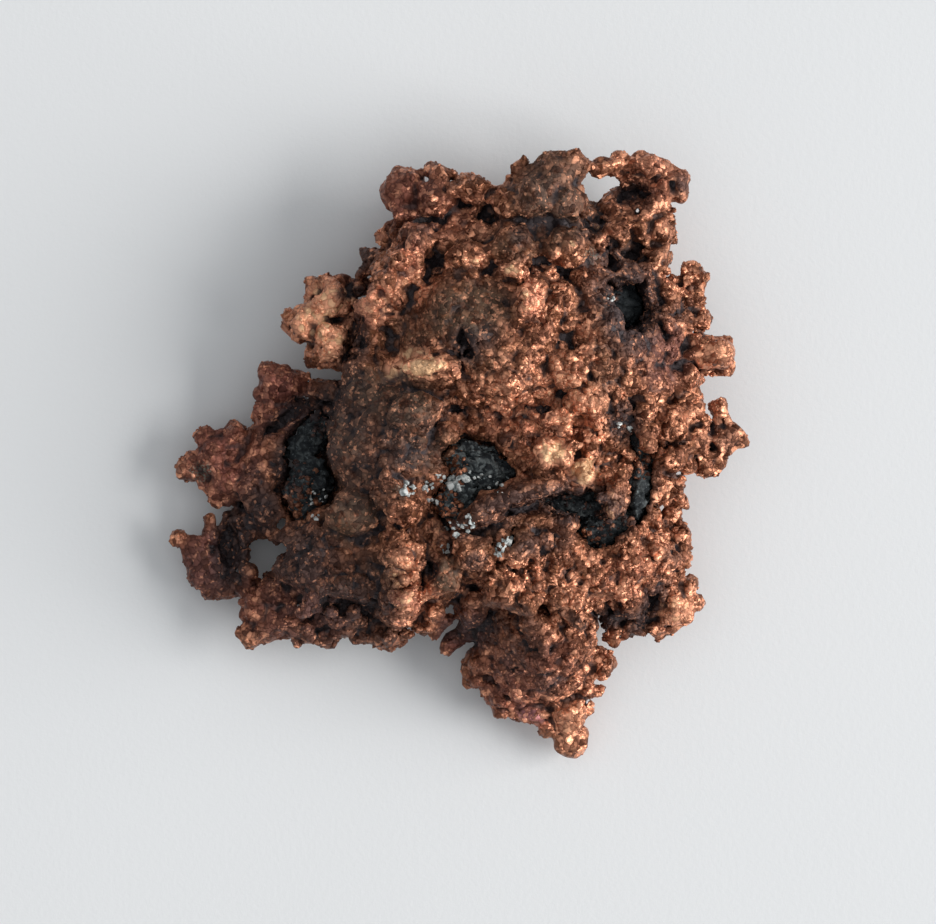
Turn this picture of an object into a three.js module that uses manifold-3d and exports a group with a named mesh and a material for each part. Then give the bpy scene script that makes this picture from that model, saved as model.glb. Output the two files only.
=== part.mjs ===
// A native copper nugget: one crystallised mass of copper, with four remnants of dark host rock
// held in its hollows. It lies on five worn feet, +Z up, as it lies on a table. Millimetres.
//
// The copper is a union of distorted crystals and knobs: cubes, octahedra and icosahedra, each
// turned, roughened and stretched. Pits, hollows and holes are such lumps taken away again.
import * as THREE from "three";
import { mergeVertices } from "three/addons/utils/BufferGeometryUtils.js";
import Module from "manifold-3d";

const wasm = await Module();
wasm.setup();

// Driving dimensions.
const TABLE_Z = 0; // the feet are worn flat at this height
const ROCK_GAP = 0.42; // how much wider in radius a pocket is than the rock that it holds
const COPPER_ROUGHNESS = 0.1; // share of its radius by which a lump's corners stand in or out
const ROCK_ROUGHNESS = 0.16;
const PIT_ROUGHNESS = 0.12;
const KNOB_RADIUS = 1.85; // a lump wider than this is a rounded knob
const CUBE_SHARE = 0.55; // of the smaller lumps, and the rest are octahedra and knobs
const OCTAHEDRON_SHARE = 0.25;
const CRUST_SINK = 0.3; // share of a crystal's radius that is buried in what it grows on
const CRUST_RADIUS = [0.8, 1.5]; // smallest and largest crystal on the broad faces
const TOP_SPACING = 6; // between neighbouring crystals on the upper side
const UNDER_SPACING = 9; // and on the underside
const FACE_MARGIN = 0.03; // no crystal grows closer than this to the rim of a broad face
const WELD = 1e-4; // corners closer than this are one

const FINISHES = {
  copper: { color: 0x8a4a2f, roughness: 0.42, metalness: 0.9 },
  rock: { color: 0x2f3a3c, roughness: 0.85, metalness: 0 },
};

// Each lump is [x, y, z, radius x, radius y, radius z, turn about Z in degrees].
// The thick middle, which the lobes grow out of.
const CORE = [
  [3, 9.5, 7.9, 9.2, 8, 6],
  [11.4, 8, 6.8, 6.2, 9.2, 5.2],
  [5.5, 17.2, 6.2, 8.6, 4.8, 4.6],
  [6, -5.2, 7.6, 8.8, 6.6, 5.6],
  [12.6, -7.4, 6, 5, 6, 4.6],
  [-4.6, 1, 7, 6.2, 7.4, 5.6],
  [-8.6, -8.2, 5.6, 7, 5, 4.6],
  [-3.4, -8.6, 6.6, 5.4, 5.2, 5],
  [-13.2, -1.4, 3.8, 4.6, 6.6, 2.4],
  [7, -14.6, 5, 5, 4.8, 4],
  [-3.6, 13.4, 6, 3.2, 5, 4.6],
  [16, -11.2, 4.4, 2.8, 2.4, 2.6],
  [14.8, 0.4, 3.4, 3, 5.8, 2],
  [3.6, 1.6, 6.8, 6, 3.6, 4.4],
  [15, 17, 4, 2.4, 3, 2],
];

// Worn lumps of the underside that meet the table.
const FEET = [
  [-13.2, -9.4, 1.3, 2.7, 2.3, 2],
  [-2.2, 16.8, 1.3, 2.7, 2.5, 2.6],
  [14, 16.4, 1.4, 2.4, 2.4, 2.1],
  [14.6, -8.6, 1.3, 2.9, 2.7, 2.1],
  [7.4, -19.2, 1.2, 2.7, 2.2, 1.9],
];

// The lobes, clockwise from the upper left as seen from above.
const LOBES = {
  upper_left_knob: [
    [-4.1, 21.4, 6.6, 2.2, 2, 2.1],
    [-3.9, 19.5, 6.4, 1.5, 1.8, 2.1],
    [-1.5, 20.6, 7.8, 1.9, 2, 2],
    [-1.4, 23, 8, 0.95, 1, 1.2],
    [1.3, 21.5, 8.9, 1.6, 1.3, 1.7],
  ],
  crown: [
    [5.2, 22.3, 8.8, 1.2, 1.7, 1.8],
    [4.4, 20.4, 8.6, 1.9, 1.8, 2.4],
    [8, 22.7, 9.3, 2, 1.9, 2.2],
    [9.9, 23.6, 9.4, 1.1, 1.4, 1.5],
    [6.6, 20.9, 9.8, 2.1, 2, 2.3],
    [9, 20.5, 9.4, 1.8, 2, 2.3],
  ],
  arch: [
    [11.7, 23.3, 7.8, 1.2, 0.8, 1],
    [13.4, 23.6, 7.3, 1.15, 0.95, 1.2],
    [15.5, 23.4, 7.4, 1.7, 1.2, 1.3],
    [17.6, 22, 6.6, 1.4, 1.35, 1.5],
    [16.4, 20.9, 6.6, 1.4, 1.6, 1.9],
    [14.6, 21.2, 5.2, 2.2, 1.2, 1.6],
    [12.8, 20.4, 6, 1.3, 1.2, 1.7],
    [14.4, 18.8, 7, 1.8, 1.4, 2.1],
  ],
  upper_right_edge: [
    [16.7, 19, 6, 1.2, 1.3, 1.8],
    [16.8, 17.6, 6, 1.15, 0.95, 1.5],
    [16.3, 16.4, 5.8, 1.25, 1, 1.6],
    [15.8, 14.8, 6.2, 1.4, 1.5, 2],
  ],
  right_knobs: [
    [19.1, 14.4, 6.2, 1, 1.25, 1.2],
    [19, 12.6, 6, 1.25, 1.3, 1.5],
    [19.8, 11.1, 5.8, 1, 1.1, 1.2],
    [17.3, 13, 6.4, 1.5, 1.5, 1.9],
    [17.2, 10.8, 6.9, 1.7, 1.8, 2.1],
    [18.8, 8.7, 6.2, 1.7, 1.4, 1.8],
    [21.1, 8.1, 5.6, 1.8, 1.5, 1.5],
    [18.3, 6.2, 6.6, 1.7, 1.5, 2],
    [18.7, 4, 6.6, 1.6, 1.7, 1.9],
    [17.4, 2.4, 7.4, 1.8, 1.9, 2.1],
  ],
  right_horn: [
    [21.5, 4.4, 6.7, 0.6, 0.65, 0.7],
    [21.6, 3.2, 6.4, 0.75, 1, 0.8],
    [21.9, 1.4, 6, 1.6, 1.35, 1.3],
    [20.5, -0.5, 5.6, 1.35, 1.3, 1.3],
    [19.2, 1, 6.8, 1.9, 1.1, 1.5, 25],
    [17.1, -0.4, 7.6, 1.9, 1.2, 1.8, 20],
  ],
  right_edge: [
    [16.9, -2.7, 7.1, 1.5, 1.4, 1.9],
    [18, -3.6, 6, 0.95, 1.1, 1.4],
    [18.1, -6.6, 5.6, 1.15, 1.15, 1.5],
    [18.2, -8.4, 5.5, 1.05, 1.2, 1.5],
  ],
  lower_right_lobe: [
    [19.1, -10.5, 5, 0.85, 0.95, 1.1],
    [19.6, -12.1, 4.6, 0.9, 0.6, 0.8],
    [17.8, -12.4, 5.2, 1.6, 1.6, 1.8],
    [16.7, -13.9, 4.4, 1.1, 1.1, 1.3],
    [14.7, -13.9, 4.2, 1.1, 1.15, 1.5],
    [12.7, -14.3, 4.4, 1, 1, 1.3],
  ],
  tail: [
    [7, -17.4, 4.4, 4.3, 2.9, 2.8],
    [11.8, -17.1, 4.2, 1.2, 1.6, 1.5],
    [10.8, -19.3, 3.6, 1.1, 1.1, 1.3],
    [9.3, -20.8, 3.1, 1.7, 1.9, 1.6],
    [9.6, -23, 2.2, 1.3, 1.9, 1.3],
    [5.8, -20.7, 2.7, 2.4, 1.3, 1.4, -20],
    [3.6, -20.7, 2.4, 0.8, 0.9, 0.9],
    [3.2, -19.2, 3, 1.6, 1.5, 1.5],
    [1.5, -17.9, 3.4, 1.3, 1.3, 1.4],
    [2.6, -16.6, 4, 1.8, 1.6, 1.7],
  ],
  lower_notch_nodules: [
    [-0.2, -15.2, 3.4, 1, 1, 1],
    [1.9, -14, 3.8, 2, 1.3, 1.5],
    [1.4, -12.2, 5.6, 1.7, 1.9, 2.2],
  ],
  lower_left_edge: [
    [-4.8, -12.2, 7.4, 2.1, 1.9, 2.6],
    [-2.4, -13.4, 6.2, 1.8, 1.3, 1.7],
    [-5.6, -14.7, 5.4, 1.35, 1.25, 1.6],
    [-9.2, -13.1, 5.2, 2.6, 1.8, 2],
    [-10.4, -14.6, 4.4, 1.1, 1.1, 1.3],
    [-12.6, -14, 4.6, 1.4, 1.3, 1.6],
    [-14.8, -13.6, 4.4, 1.7, 1.6, 1.8],
    [-16.8, -14.6, 3.8, 1.15, 1.3, 1.3],
    [-16.3, -12.4, 4.2, 1.5, 1.6, 1.8],
    [-14.3, -11.4, 4.8, 2.1, 1.6, 1.8],
  ],
  lower_left_lobe: [
    [-20.3, -9.6, 2.4, 1.9, 1.9, 1.5],
    [-18.9, -10.8, 2.5, 1.5, 1.15, 1.4],
    [-17.2, -10.6, 3, 1.2, 1.3, 1.4],
    [-21.4, -7.7, 2.6, 1.15, 1.25, 1.1],
    [-23, -7.1, 2.8, 0.62, 0.65, 0.6],
    [-20.2, -6.3, 3.1, 0.55, 1.5, 0.9],
    [-18.6, -7.4, 2.3, 1.3, 2.5, 1.4],
    [-17.4, -5.2, 2.8, 1.3, 1, 1.4],
  ],
  left_lobe: [
    [-19.6, 0, 3, 1.9, 2, 1.8],
    [-18.2, 1.3, 3.3, 1.4, 1.35, 1.4],
    [-18.4, -2.2, 3.2, 2.1, 2, 1.8],
    [-22, -1.1, 2.8, 1.2, 1.2, 1.1],
  ],
  upper_left_lobe: [
    [-14.7, 5.7, 4.4, 1.6, 1.9, 1.7],
    [-15.2, 3.6, 4.1, 1.55, 1.5, 1.5],
    [-13.2, 6, 4.6, 1.2, 1.15, 1.3],
    [-10.7, 5.3, 5, 1.5, 1, 1.8],
  ],
  bright_lobe: [
    [-11.6, 11, 6.2, 2, 1.9, 2],
    [-10.5, 13.4, 6.1, 1.7, 1.4, 1.6],
    [-13.1, 10.9, 5.8, 1.15, 1.15, 1.2],
    [-10.3, 9.5, 6.5, 1.6, 1.5, 1.7],
    [-11.2, 7.9, 5.6, 1.1, 1.1, 1.3],
    [-9.5, 7.8, 6, 1.3, 1.1, 1.6],
    [-8.6, 10.4, 5.4, 1.6, 2.2, 1.7],
  ],
  dark_ledge: [
    [-8, 13.6, 4.6, 1.5, 0.8, 1],
    [-5.4, 18, 5.6, 1, 1, 1.1],
    [-6.6, 15.8, 5.2, 1.3, 1.3, 1.3],
  ],
  pink_ridge: [
    [-6.6, 11.6, 9.4, 1.5, 1.4, 1.8],
    [-5.3, 13.3, 9.7, 1.6, 1.6, 2],
    [-4, 15.2, 9.8, 1.7, 1.7, 2],
    [-3, 17.2, 9, 1.7, 1.5, 1.8],
    [-7, 9.2, 8.6, 1.6, 1.7, 2],
    [-7.6, 6.4, 7.9, 1.8, 1.9, 2.2],
  ],
  top_bosses: [
    [-2.4, 7, 13, 1.7, 0.9, 1.1],
    [5.8, 12.6, 12.6, 1.3, 1.8, 1.4],
    [9, 6.8, 12.2, 2, 1.8, 1.3],
    [10.6, 4.4, 12, 1.9, 1.6, 1.3],
    [8.2, 2.6, 12.8, 1.4, 1, 1.2],
    [7.9, 0.3, 13.3, 1.35, 1.3, 1.3],
    [10.6, -1.3, 12.8, 1.15, 1.1, 1.2],
    [13, -3.2, 10.4, 1.1, 1.5, 1.6],
    [-3.2, 3.4, 12.4, 2.3, 1.9, 1.2],
    [-8.4, -4.6, 10.2, 2.3, 2.2, 1.4],
    [-4.2, -4.2, 11.8, 1.8, 1.8, 1.6],
    [-4, -8.6, 12, 1.6, 1.7, 1.5],
    [-4.4, -11.6, 10.6, 1.6, 1.7, 1.7],
    [-8.4, -10.6, 9.4, 2, 1.5, 1.4],
    [2.6, -4.6, 12.6, 3.2, 1, 1.4, 20],
    [1.4, -7.8, 12.8, 1.8, 1.5, 1.3],
    [5, -7.4, 12.8, 2, 1.6, 1.4],
    [4.4, -11, 11, 2.6, 1.6, 1.6],
    [8.8, -11.4, 9.8, 1.7, 2.6, 1.6, 35],
    [6.6, -13.9, 8.6, 1.6, 2.3, 1.5, 30],
    [-1, -9.9, 11.6, 1.4, 1.4, 1.4],
    [1, 15.6, 11, 2, 1.6, 1.4],
    [4.6, 16.6, 10.8, 2.2, 1.8, 1.6],
    [8.8, 16.8, 10.8, 2, 1.8, 1.5],
  ],
};

// Pits, hollows and holes, taken out of the copper.
const PITS = {
  hole_in_arch: [
    [11.4, 21.6, 7.5, 1.15, 1, 9],
    [13, 22.2, 7, 0.95, 0.42, 9, 12],
  ],
  hole_in_knob: [[-2.35, 22.5, 7, 0.32, 0.62, 9, 15]],
  hole_by_tail: [[11.75, -14.7, 4, 0.45, 0.8, 9, 10]],
  hole_by_bright_lobe: [
    [-10.9, 6.75, 5, 0.8, 0.42, 9],
  ],
  hole_at_left: [
    [-15.6, -8.4, 3, 1.15, 1.65, 9, -8],
    [-14.2, -5.7, 3, 0.75, 0.6, 9, 40],
  ],
  pit_on_plateau: [[0.9, 8.9, 15, 0.7, 1.3, 3.6, 25]],
  pit_below_plateau: [[6.9, 3.7, 14.4, 0.75, 0.65, 2.6]],
  pit_by_crown: [[2.6, 19.4, 10.6, 0.9, 1, 3]],
  pit_in_arch: [[14.7, 22.3, 8.8, 1.3, 0.9, 2.3]],
  cup_in_corner: [[17.5, 22, 8.6, 0.75, 0.7, 1.4]],
  crevice_by_arch: [
    [11.3, 19.2, 10.4, 0.7, 1.2, 3.2, 35],
    [12.7, 16.8, 10.6, 0.9, 1.5, 2.8, 30],
  ],
  deep_pit: [
    [14.5, 12.1, 11.4, 1.5, 2.4, 5.6, 8],
    [13.4, 13.4, 11.4, 1.6, 1.3, 4.2],
  ],
  channel: [
    [14.9, 3.4, 12.6, 0.7, 2.2, 3.6, 4],
    [14.9, -0.6, 12.4, 0.75, 2.4, 4.4, -8],
    [14.7, -4.3, 12, 0.8, 2, 4.6, 10],
  ],
  hollow_right: [
    [8.4, -3.8, 14, 4.1, 1.35, 4.6, 6],
    [11, -4.4, 13, 2, 1.7, 5.4],
    [11.9, -6.3, 12, 2.6, 1.1, 5, 12],
  ],
  hollow_centre: [
    [1.9, -1, 15, 3, 2, 4.6, -28],
    [0.2, -3.8, 14.6, 1.5, 1.9, 4.2, -20],
    [4.6, -6.9, 14.8, 0.9, 0.8, 2.2, 30],
  ],
  hollow_left: [
    [-12.3, 1.6, 10, 1.3, 3.1, 4.8, -38],
    [-13.4, -2.2, 9, 2.3, 2.7, 4.4, -10],
    [-11.2, -3.4, 9.4, 1.4, 2.3, 3],
  ],
  pit_by_tail: [[12.6, -12.4, 9, 1.2, 0.8, 3.8, 15]],
  slot_on_ridge: [[-2.1, -9.2, 13.6, 0.5, 0.95, 3.6]],
  slot_by_bright_lobe: [[-8.4, 10.2, 8.6, 0.65, 1.5, 2.4]],
  hollow_below_notch: [[-9.6, -12.4, 9.6, 1.7, 1.1, 2.6]],
};

// The host rock that is left in the hollows.
const ROCKS = {
  rock_centre: [
    [2, -1.1, 9.9, 3.3, 2.2, 1.9, -28],
    [0.2, -3.7, 9.6, 1.7, 2.1, 1.7, -20],
    [4.6, -6.8, 11, 0.9, 0.8, 1.6, 30],
    [2.6, -5, 9, 2.6, 1.9, 1.6, -30],
  ],
  rock_right: [
    [8.4, -4, 7.4, 3.8, 1.7, 1.9, 6],
    [12, -5.9, 7.2, 2.9, 1.7, 2.2, 12],
    [14.9, -2.4, 7, 1.1, 3.2, 2.1, -4],
    [14.9, 2.6, 7.6, 1, 2.8, 2.1, 4],
  ],
  rock_left: [
    [-12, -2.7, 5, 2.2, 2.9, 2.1, -10],
    [-12, 1.3, 4.8, 1.4, 2.7, 1.7, -38],
  ],
  rock_upper: [
    [13.2, 12.5, 6.2, 2, 2.4, 2, 8],
    [12, 12.9, 8, 0.9, 1.2, 1.7, 8],
  ],
};

// A repeatable number from 0 to 1 for each whole number n.
function chance(n) {
  const s = Math.sin(n * 127.1 + 11.7) * 43758.5453;
  return s - Math.floor(s);
}

// A whole number that stands for a place, so that a lump keeps its form when others come or go.
function seedOf([x, y, z]) {
  return Math.abs(Math.round(x * 113 + y * 71 + z * 37));
}

// A repeatable turn in space for each whole number n.
function anyTurn(n) {
  const angle = (k) => chance(n * 3 + k) * Math.PI * 2;
  return new THREE.Quaternion().setFromEuler(
    new THREE.Euler(angle(1), angle(2), angle(3)),
  );
}

// A geometry whose faces share their corners.
function welded(geometry) {
  geometry.deleteAttribute("normal");
  geometry.deleteAttribute("uv");
  return mergeVertices(geometry, WELD);
}

// A welded geometry as a solid that can be joined and cut.
function solidOf(geometry) {
  return new wasm.Manifold(
    new wasm.Mesh({
      numProp: 3,
      vertProperties: geometry.attributes.position.array,
      triVerts: new Uint32Array(geometry.index.array),
    }),
  );
}

// A unit lump of about the same volume in each form, with few faces.
const FORMS = {
  knob: () => new THREE.IcosahedronGeometry(1.13),
  cube: () => new THREE.BoxGeometry(1.6, 1.6, 1.6),
  octahedron: () => new THREE.OctahedronGeometry(1.42),
};

// The form of the lump at a place: the larger lumps are all rounded knobs.
function formFor(place) {
  const [, , , rx, ry] = place;
  if (Math.max(rx, ry) > KNOB_RADIUS) return "knob";
  const pick = chance(seedOf(place) * 17);
  if (pick < CUBE_SHARE) return "cube";
  return pick < CUBE_SHARE + OCTAHEDRON_SHARE ? "octahedron" : "knob";
}

// One lump: a unit form turned any way, roughened, and then stretched to its three radii.
function lump(place, form, roughness, grow = 0) {
  const [x, y, z, rx, ry, rz, turn = 0] = place;
  const seed = seedOf(place);
  const shape = welded(FORMS[form]());
  shape.applyQuaternion(anyTurn(seed));
  const corners = shape.attributes.position;
  const corner = new THREE.Vector3();
  for (let i = 0; i < corners.count; i++) {
    corner.fromBufferAttribute(corners, i);
    corner.multiplyScalar(1 + roughness * (2 * chance(seed * 61 + i) - 1));
    corners.setXYZ(i, corner.x, corner.y, corner.z);
  }
  shape.scale(rx + grow, ry + grow, rz + grow);
  shape.rotateZ(THREE.MathUtils.degToRad(turn));
  shape.translate(x, y, z);
  return solidOf(shape);
}

// Joins solids in pairs, so that each join is a small one.
function joined(solids) {
  let left = solids;
  while (left.length > 1) {
    const pairs = [];
    for (let i = 0; i < left.length; i += 2)
      pairs.push(i + 1 < left.length ? left[i].add(left[i + 1]) : left[i]);
    left = pairs;
  }
  return left[0];
}

// Height of the upper (side 1) or lower (side -1) face of the lumps at x, y, or null beside them.
function faceHeight(lumps, x, y, side) {
  let best = null;
  for (const [cx, cy, cz, rx, ry, rz, turn = 0] of lumps) {
    const a = THREE.MathUtils.degToRad(-turn);
    const dx = (x - cx) * Math.cos(a) - (y - cy) * Math.sin(a);
    const dy = (x - cx) * Math.sin(a) + (y - cy) * Math.cos(a);
    const inside = 1 - (dx / rx) ** 2 - (dy / ry) ** 2;
    if (inside <= FACE_MARGIN) continue;
    const z = cz + side * rz * Math.sqrt(inside);
    if (best === null || side * z > side * best) best = z;
  }
  return best;
}

// Crystals on a jittered grid over the whole upper or lower face.
function crust(lumps, side, spacing) {
  const found = [];
  const [small, large] = CRUST_RADIUS;
  const reach = 25;
  for (let gx = -reach; gx <= reach; gx += spacing)
    for (let gy = -reach; gy <= reach; gy += spacing) {
      const seed = seedOf([gx, gy, side]);
      const x = gx + (chance(seed * 7) - 0.5) * spacing;
      const y = gy + (chance(seed * 7 + 1) - 0.5) * spacing;
      const z = faceHeight(lumps, x, y, side);
      if (z === null) continue;
      const radius = small + (large - small) * chance(seed * 7 + 2) ** 2;
      const place = [x, y, z - side * radius * CRUST_SINK, radius, radius, radius];
      found.push(lump(place, formFor(place), COPPER_ROUGHNESS));
    }
  return found;
}

// A solid as a mesh with flat faces.
function meshOf(name, solid, finish) {
  const { vertProperties, triVerts } = solid.getMesh();
  const geometry = new THREE.BufferGeometry();
  geometry.setAttribute("position", new THREE.BufferAttribute(vertProperties, 3));
  geometry.setIndex(new THREE.BufferAttribute(triVerts, 1));
  const flat = geometry.toNonIndexed();
  flat.computeVertexNormals();
  const material = new THREE.MeshStandardMaterial({ ...finish, flatShading: true });
  const mesh = new THREE.Mesh(flat, material);
  mesh.name = name;
  return mesh;
}

// Everything below the table, which wears the feet flat.
function belowTable() {
  const side = 80;
  const depth = 20;
  const box = new THREE.BoxGeometry(side, side, depth);
  box.translate(0, 0, TABLE_Z - depth / 2);
  return solidOf(welded(box));
}

function rock(places, grow = 0) {
  return joined(places.map((place) => lump(place, "knob", ROCK_ROUGHNESS, grow)));
}

function copper() {
  const grown = [...CORE, ...FEET, ...Object.values(LOBES).flat()].map((place) =>
    lump(place, formFor(place), COPPER_ROUGHNESS),
  );
  const upperCrust = crust([...CORE, ...LOBES.top_bosses], 1, TOP_SPACING);
  const lowerCrust = crust(CORE, -1, UNDER_SPACING);
  const pits = Object.values(PITS).flat().map((place) => lump(place, "octahedron", PIT_ROUGHNESS));
  const pockets = Object.values(ROCKS).map((places) => rock(places, ROCK_GAP));
  return joined([...grown, ...upperCrust, ...lowerCrust])
    .subtract(joined([...pits, ...pockets]))
    .subtract(belowTable());
}

// The largest closed body of a solid, without the crumbs that a cut leaves loose.
function largest(solid) {
  return solid.decompose().reduce((a, b) => (b.volume() > a.volume() ? b : a));
}

// Stands the nugget's box centrally over the origin.
function centre(group) {
  const box = new THREE.Box3().setFromObject(group);
  const middle = box.getCenter(new THREE.Vector3());
  group.position.set(-middle.x, -middle.y, TABLE_Z - box.min.z);
}

function buildNugget() {
  const nugget = new THREE.Group();
  nugget.add(meshOf("copper", largest(copper()), FINISHES.copper));
  for (const [name, places] of Object.entries(ROCKS))
    nugget.add(meshOf(name, rock(places), FINISHES.rock));
  centre(nugget);
  return nugget;
}

export default buildNugget();
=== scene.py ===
"""A native copper nugget, seen from straight above on a pale table.

The solids of the CAD model give the nugget its masses. Here the copper gets its skin of grown crystals, the
host rock in its hollows its slaty face, and each its finish. Lengths in this file are in mm until a mesh is
made, which is in metres. Places on the nugget are given as [x, y] from the middle of its outline as drawn,
with x to the right and y up the view from above, and CENTRING is how far the solids were moved from there,
so that their box is centred on the origin.
"""

import bpy
import numpy as np
import openvdb
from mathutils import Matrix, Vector


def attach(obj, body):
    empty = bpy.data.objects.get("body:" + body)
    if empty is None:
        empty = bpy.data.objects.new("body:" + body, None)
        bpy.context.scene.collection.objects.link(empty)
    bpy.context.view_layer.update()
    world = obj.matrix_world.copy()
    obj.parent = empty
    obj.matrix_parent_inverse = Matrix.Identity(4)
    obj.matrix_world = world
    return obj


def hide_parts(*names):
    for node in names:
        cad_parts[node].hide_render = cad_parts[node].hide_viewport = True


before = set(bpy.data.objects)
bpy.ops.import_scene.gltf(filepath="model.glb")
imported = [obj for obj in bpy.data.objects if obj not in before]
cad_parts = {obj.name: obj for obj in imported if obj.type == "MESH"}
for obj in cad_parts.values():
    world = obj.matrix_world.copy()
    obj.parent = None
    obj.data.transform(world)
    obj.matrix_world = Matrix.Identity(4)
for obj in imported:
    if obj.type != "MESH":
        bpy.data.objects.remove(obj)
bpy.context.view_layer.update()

MM = 0.001
SAME_PLACE = 2e-6  # corners of a solid closer than this, in metres, are one
CENTRING = np.array([-0.110, -0.189])
PATCH_FALL = 0.56  # a patch ends where this times its squared distance, in its own radii, is 1

PHOTO_MM_PER_PX = 0.08143
PHOTO_WIDTH_PX, PHOTO_MIDDLE_PX, DRAWN_MIDDLE_PX = 936, (468, 462), (456, 455)
OUTLINE_LEVEL = 6.0  # height at which the photograph's scale holds
LENS, FILM_WIDTH = 250, 36
KEY_DIRECTION, KEY_DISTANCE, KEY_SIZE, KEY_WATTS = (0.864, -0.060, 0.42), 1500, 1040, 28.5
TABLE_HALF = 600

SKIN_STEP, ROCK_STEP = 0.19, 0.14  # grids of the copper's skin and of the rocks' faces
SKIN_BAND = 6  # grid steps either side of the surface that hold a distance
GRID_MARGIN = 4  # grid steps kept free around those
FAR = 99  # farther than the nugget reaches
SKIN_TRIANGLES = 190000

RIM_REACH, TOP_REACH, GRAIN_REACH = 1.3, 0.8, 0.25  # how far about a place the copper's height is taken
LUMP_SINK, GRAIN_SINK = 0.55, 0.35  # how much of the radius of a knob or a pale grain is sunk in
HOLE_LEVEL, HOLE_HEIGHT = 7, 60  # middle and half height of what cuts a hole
COPPER_REACH, ROCK_REACH = 0.95, 0.75  # how far from the surface a relief is worked out
KNOB_SIZE, BLOCK_SIZE, GRAIN_SIZE = 2.1, 1.05, 0.62  # grains of the relief
HIGHEST_GRAIN = 0.36  # no grain stands out farther
SKIN_LIFT = 0.06  # how far the skin's level is outside the solid
THIN_REACH, THIN_CROWDING, THIN_RANGE = 1.1, 0.40, 0.12  # a rim less crowded than this is smoothed
COPPER_TABLE_GAP, CRYSTAL_TABLE_GAP = 0.004, 0.02  # what stays free above the table
CLOSE_REACH, WIDE_REACH = 0.6, 2.0  # how far about a place its crowding is taken
SPLINTER = np.array([0.75, 1.3, 1.3], np.float32)  # the rock's blocks are longest along x

CRYSTAL_LIMIT = 7900  # crystals that one piece may hold
CRYSTAL_SINK = (0.25, 0.95)  # least and most of its radius that a crystal's middle is sunk in
ROUNDED_SHARE = 0.45  # share of the crystals that are shaded smooth
UPPER_SIDE = 5.2  # the upper side is what lies above this height
CROWDED = 0.64  # crystals grow scarce as a place becomes this crowded
CUBE = np.array([[x, y, z] for x in (-1, 1) for y in (-1, 1) for z in (-1, 1)])
TIPS = np.concatenate([np.eye(3, dtype=int), -np.eye(3, dtype=int)])
CRYSTAL_CORNERS, CRYSTAL_FACES = len(CUBE) + len(TIPS), len(TIPS) * 4
CUBE_HALF_WIDTH = (0.50, 0.72)  # in a crystal's radii
TIP_REACH, TIP_SHARE = [1.15, 1.35, 1.6, 1.9], [0.2, 0.3, 0.3, 0.2]  # in half widths, and its chance
CORNER_SHAKE = 0.045

DOME, FINE_GRAIN = 0.5, 0.2  # grains of the finish

CRYSTALS = [  # the copper's crystals, as [piece, places tried, upper side, least and most radius, seed]
    ["upper_crystals", 34000, True, 0.14, 0.32, 101],
    ["upper_small_crystals", 34000, True, 0.11, 0.25, 202],
    ["upper_fine_crystals", 34000, True, 0.09, 0.20, 303],
    ["lower_crystals", 32000, False, 0.14, 0.34, 404],
]
ROCKS = {"rock_centre": 1.0, "rock_right": 0.7, "rock_left": 0.5, "rock_upper": 0.15}  # how pale each is: partly each rock's own tone, partly painted shade on the rocks that lie deep in crevices
FLECK_TRIES, FLECK_RADII, FLECK_LEVEL, FLECK_SEED, QUARTZ_SEED = 2600, (0.12, 0.34), 5, 505, 606

# Patches, each [x, y, radius along, radius across, strength], and its turn in degrees where it has one.

OLIVE = [  # dull olive-brown patina
    [1, 11.5, 3.8, 2.6, 0.95, 10], [-3.5, 9.8, 2.8, 1.6, 0.55, 20], [8, 20.5, 3.4, 4.2, 0.75],
    [5, 16.8, 2.2, 1.4, 0.6], [-8.3, -5, 2.5, 2.3, 1], [-4, 4, 2.8, 2.4, 0.85], [-0.7, -9.7, 1.2, 1.6, 0.9],
    [-7, 5, 2.4, 2.2, 0.9], [-9.5, 1.5, 2.8, 2.4, 0.8], [-3, 0.5, 3.4, 2.2, 0.7], [-8.5, -1.5, 2.6, 2, 0.6],
    [4, -6.5, 3, 1.2, 0.4, 20], [-6.5, -9.5, 2.4, 1.6, 0.5], [2.2, 7.6, 2.4, 1.6, 0.4],
    [14, 16.5, 1.6, 1.6, 0.4], [12, 6.5, 1.8, 3.2, 0.35], [16.5, 17.5, 1.8, 2.2, 0.3],
]
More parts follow.
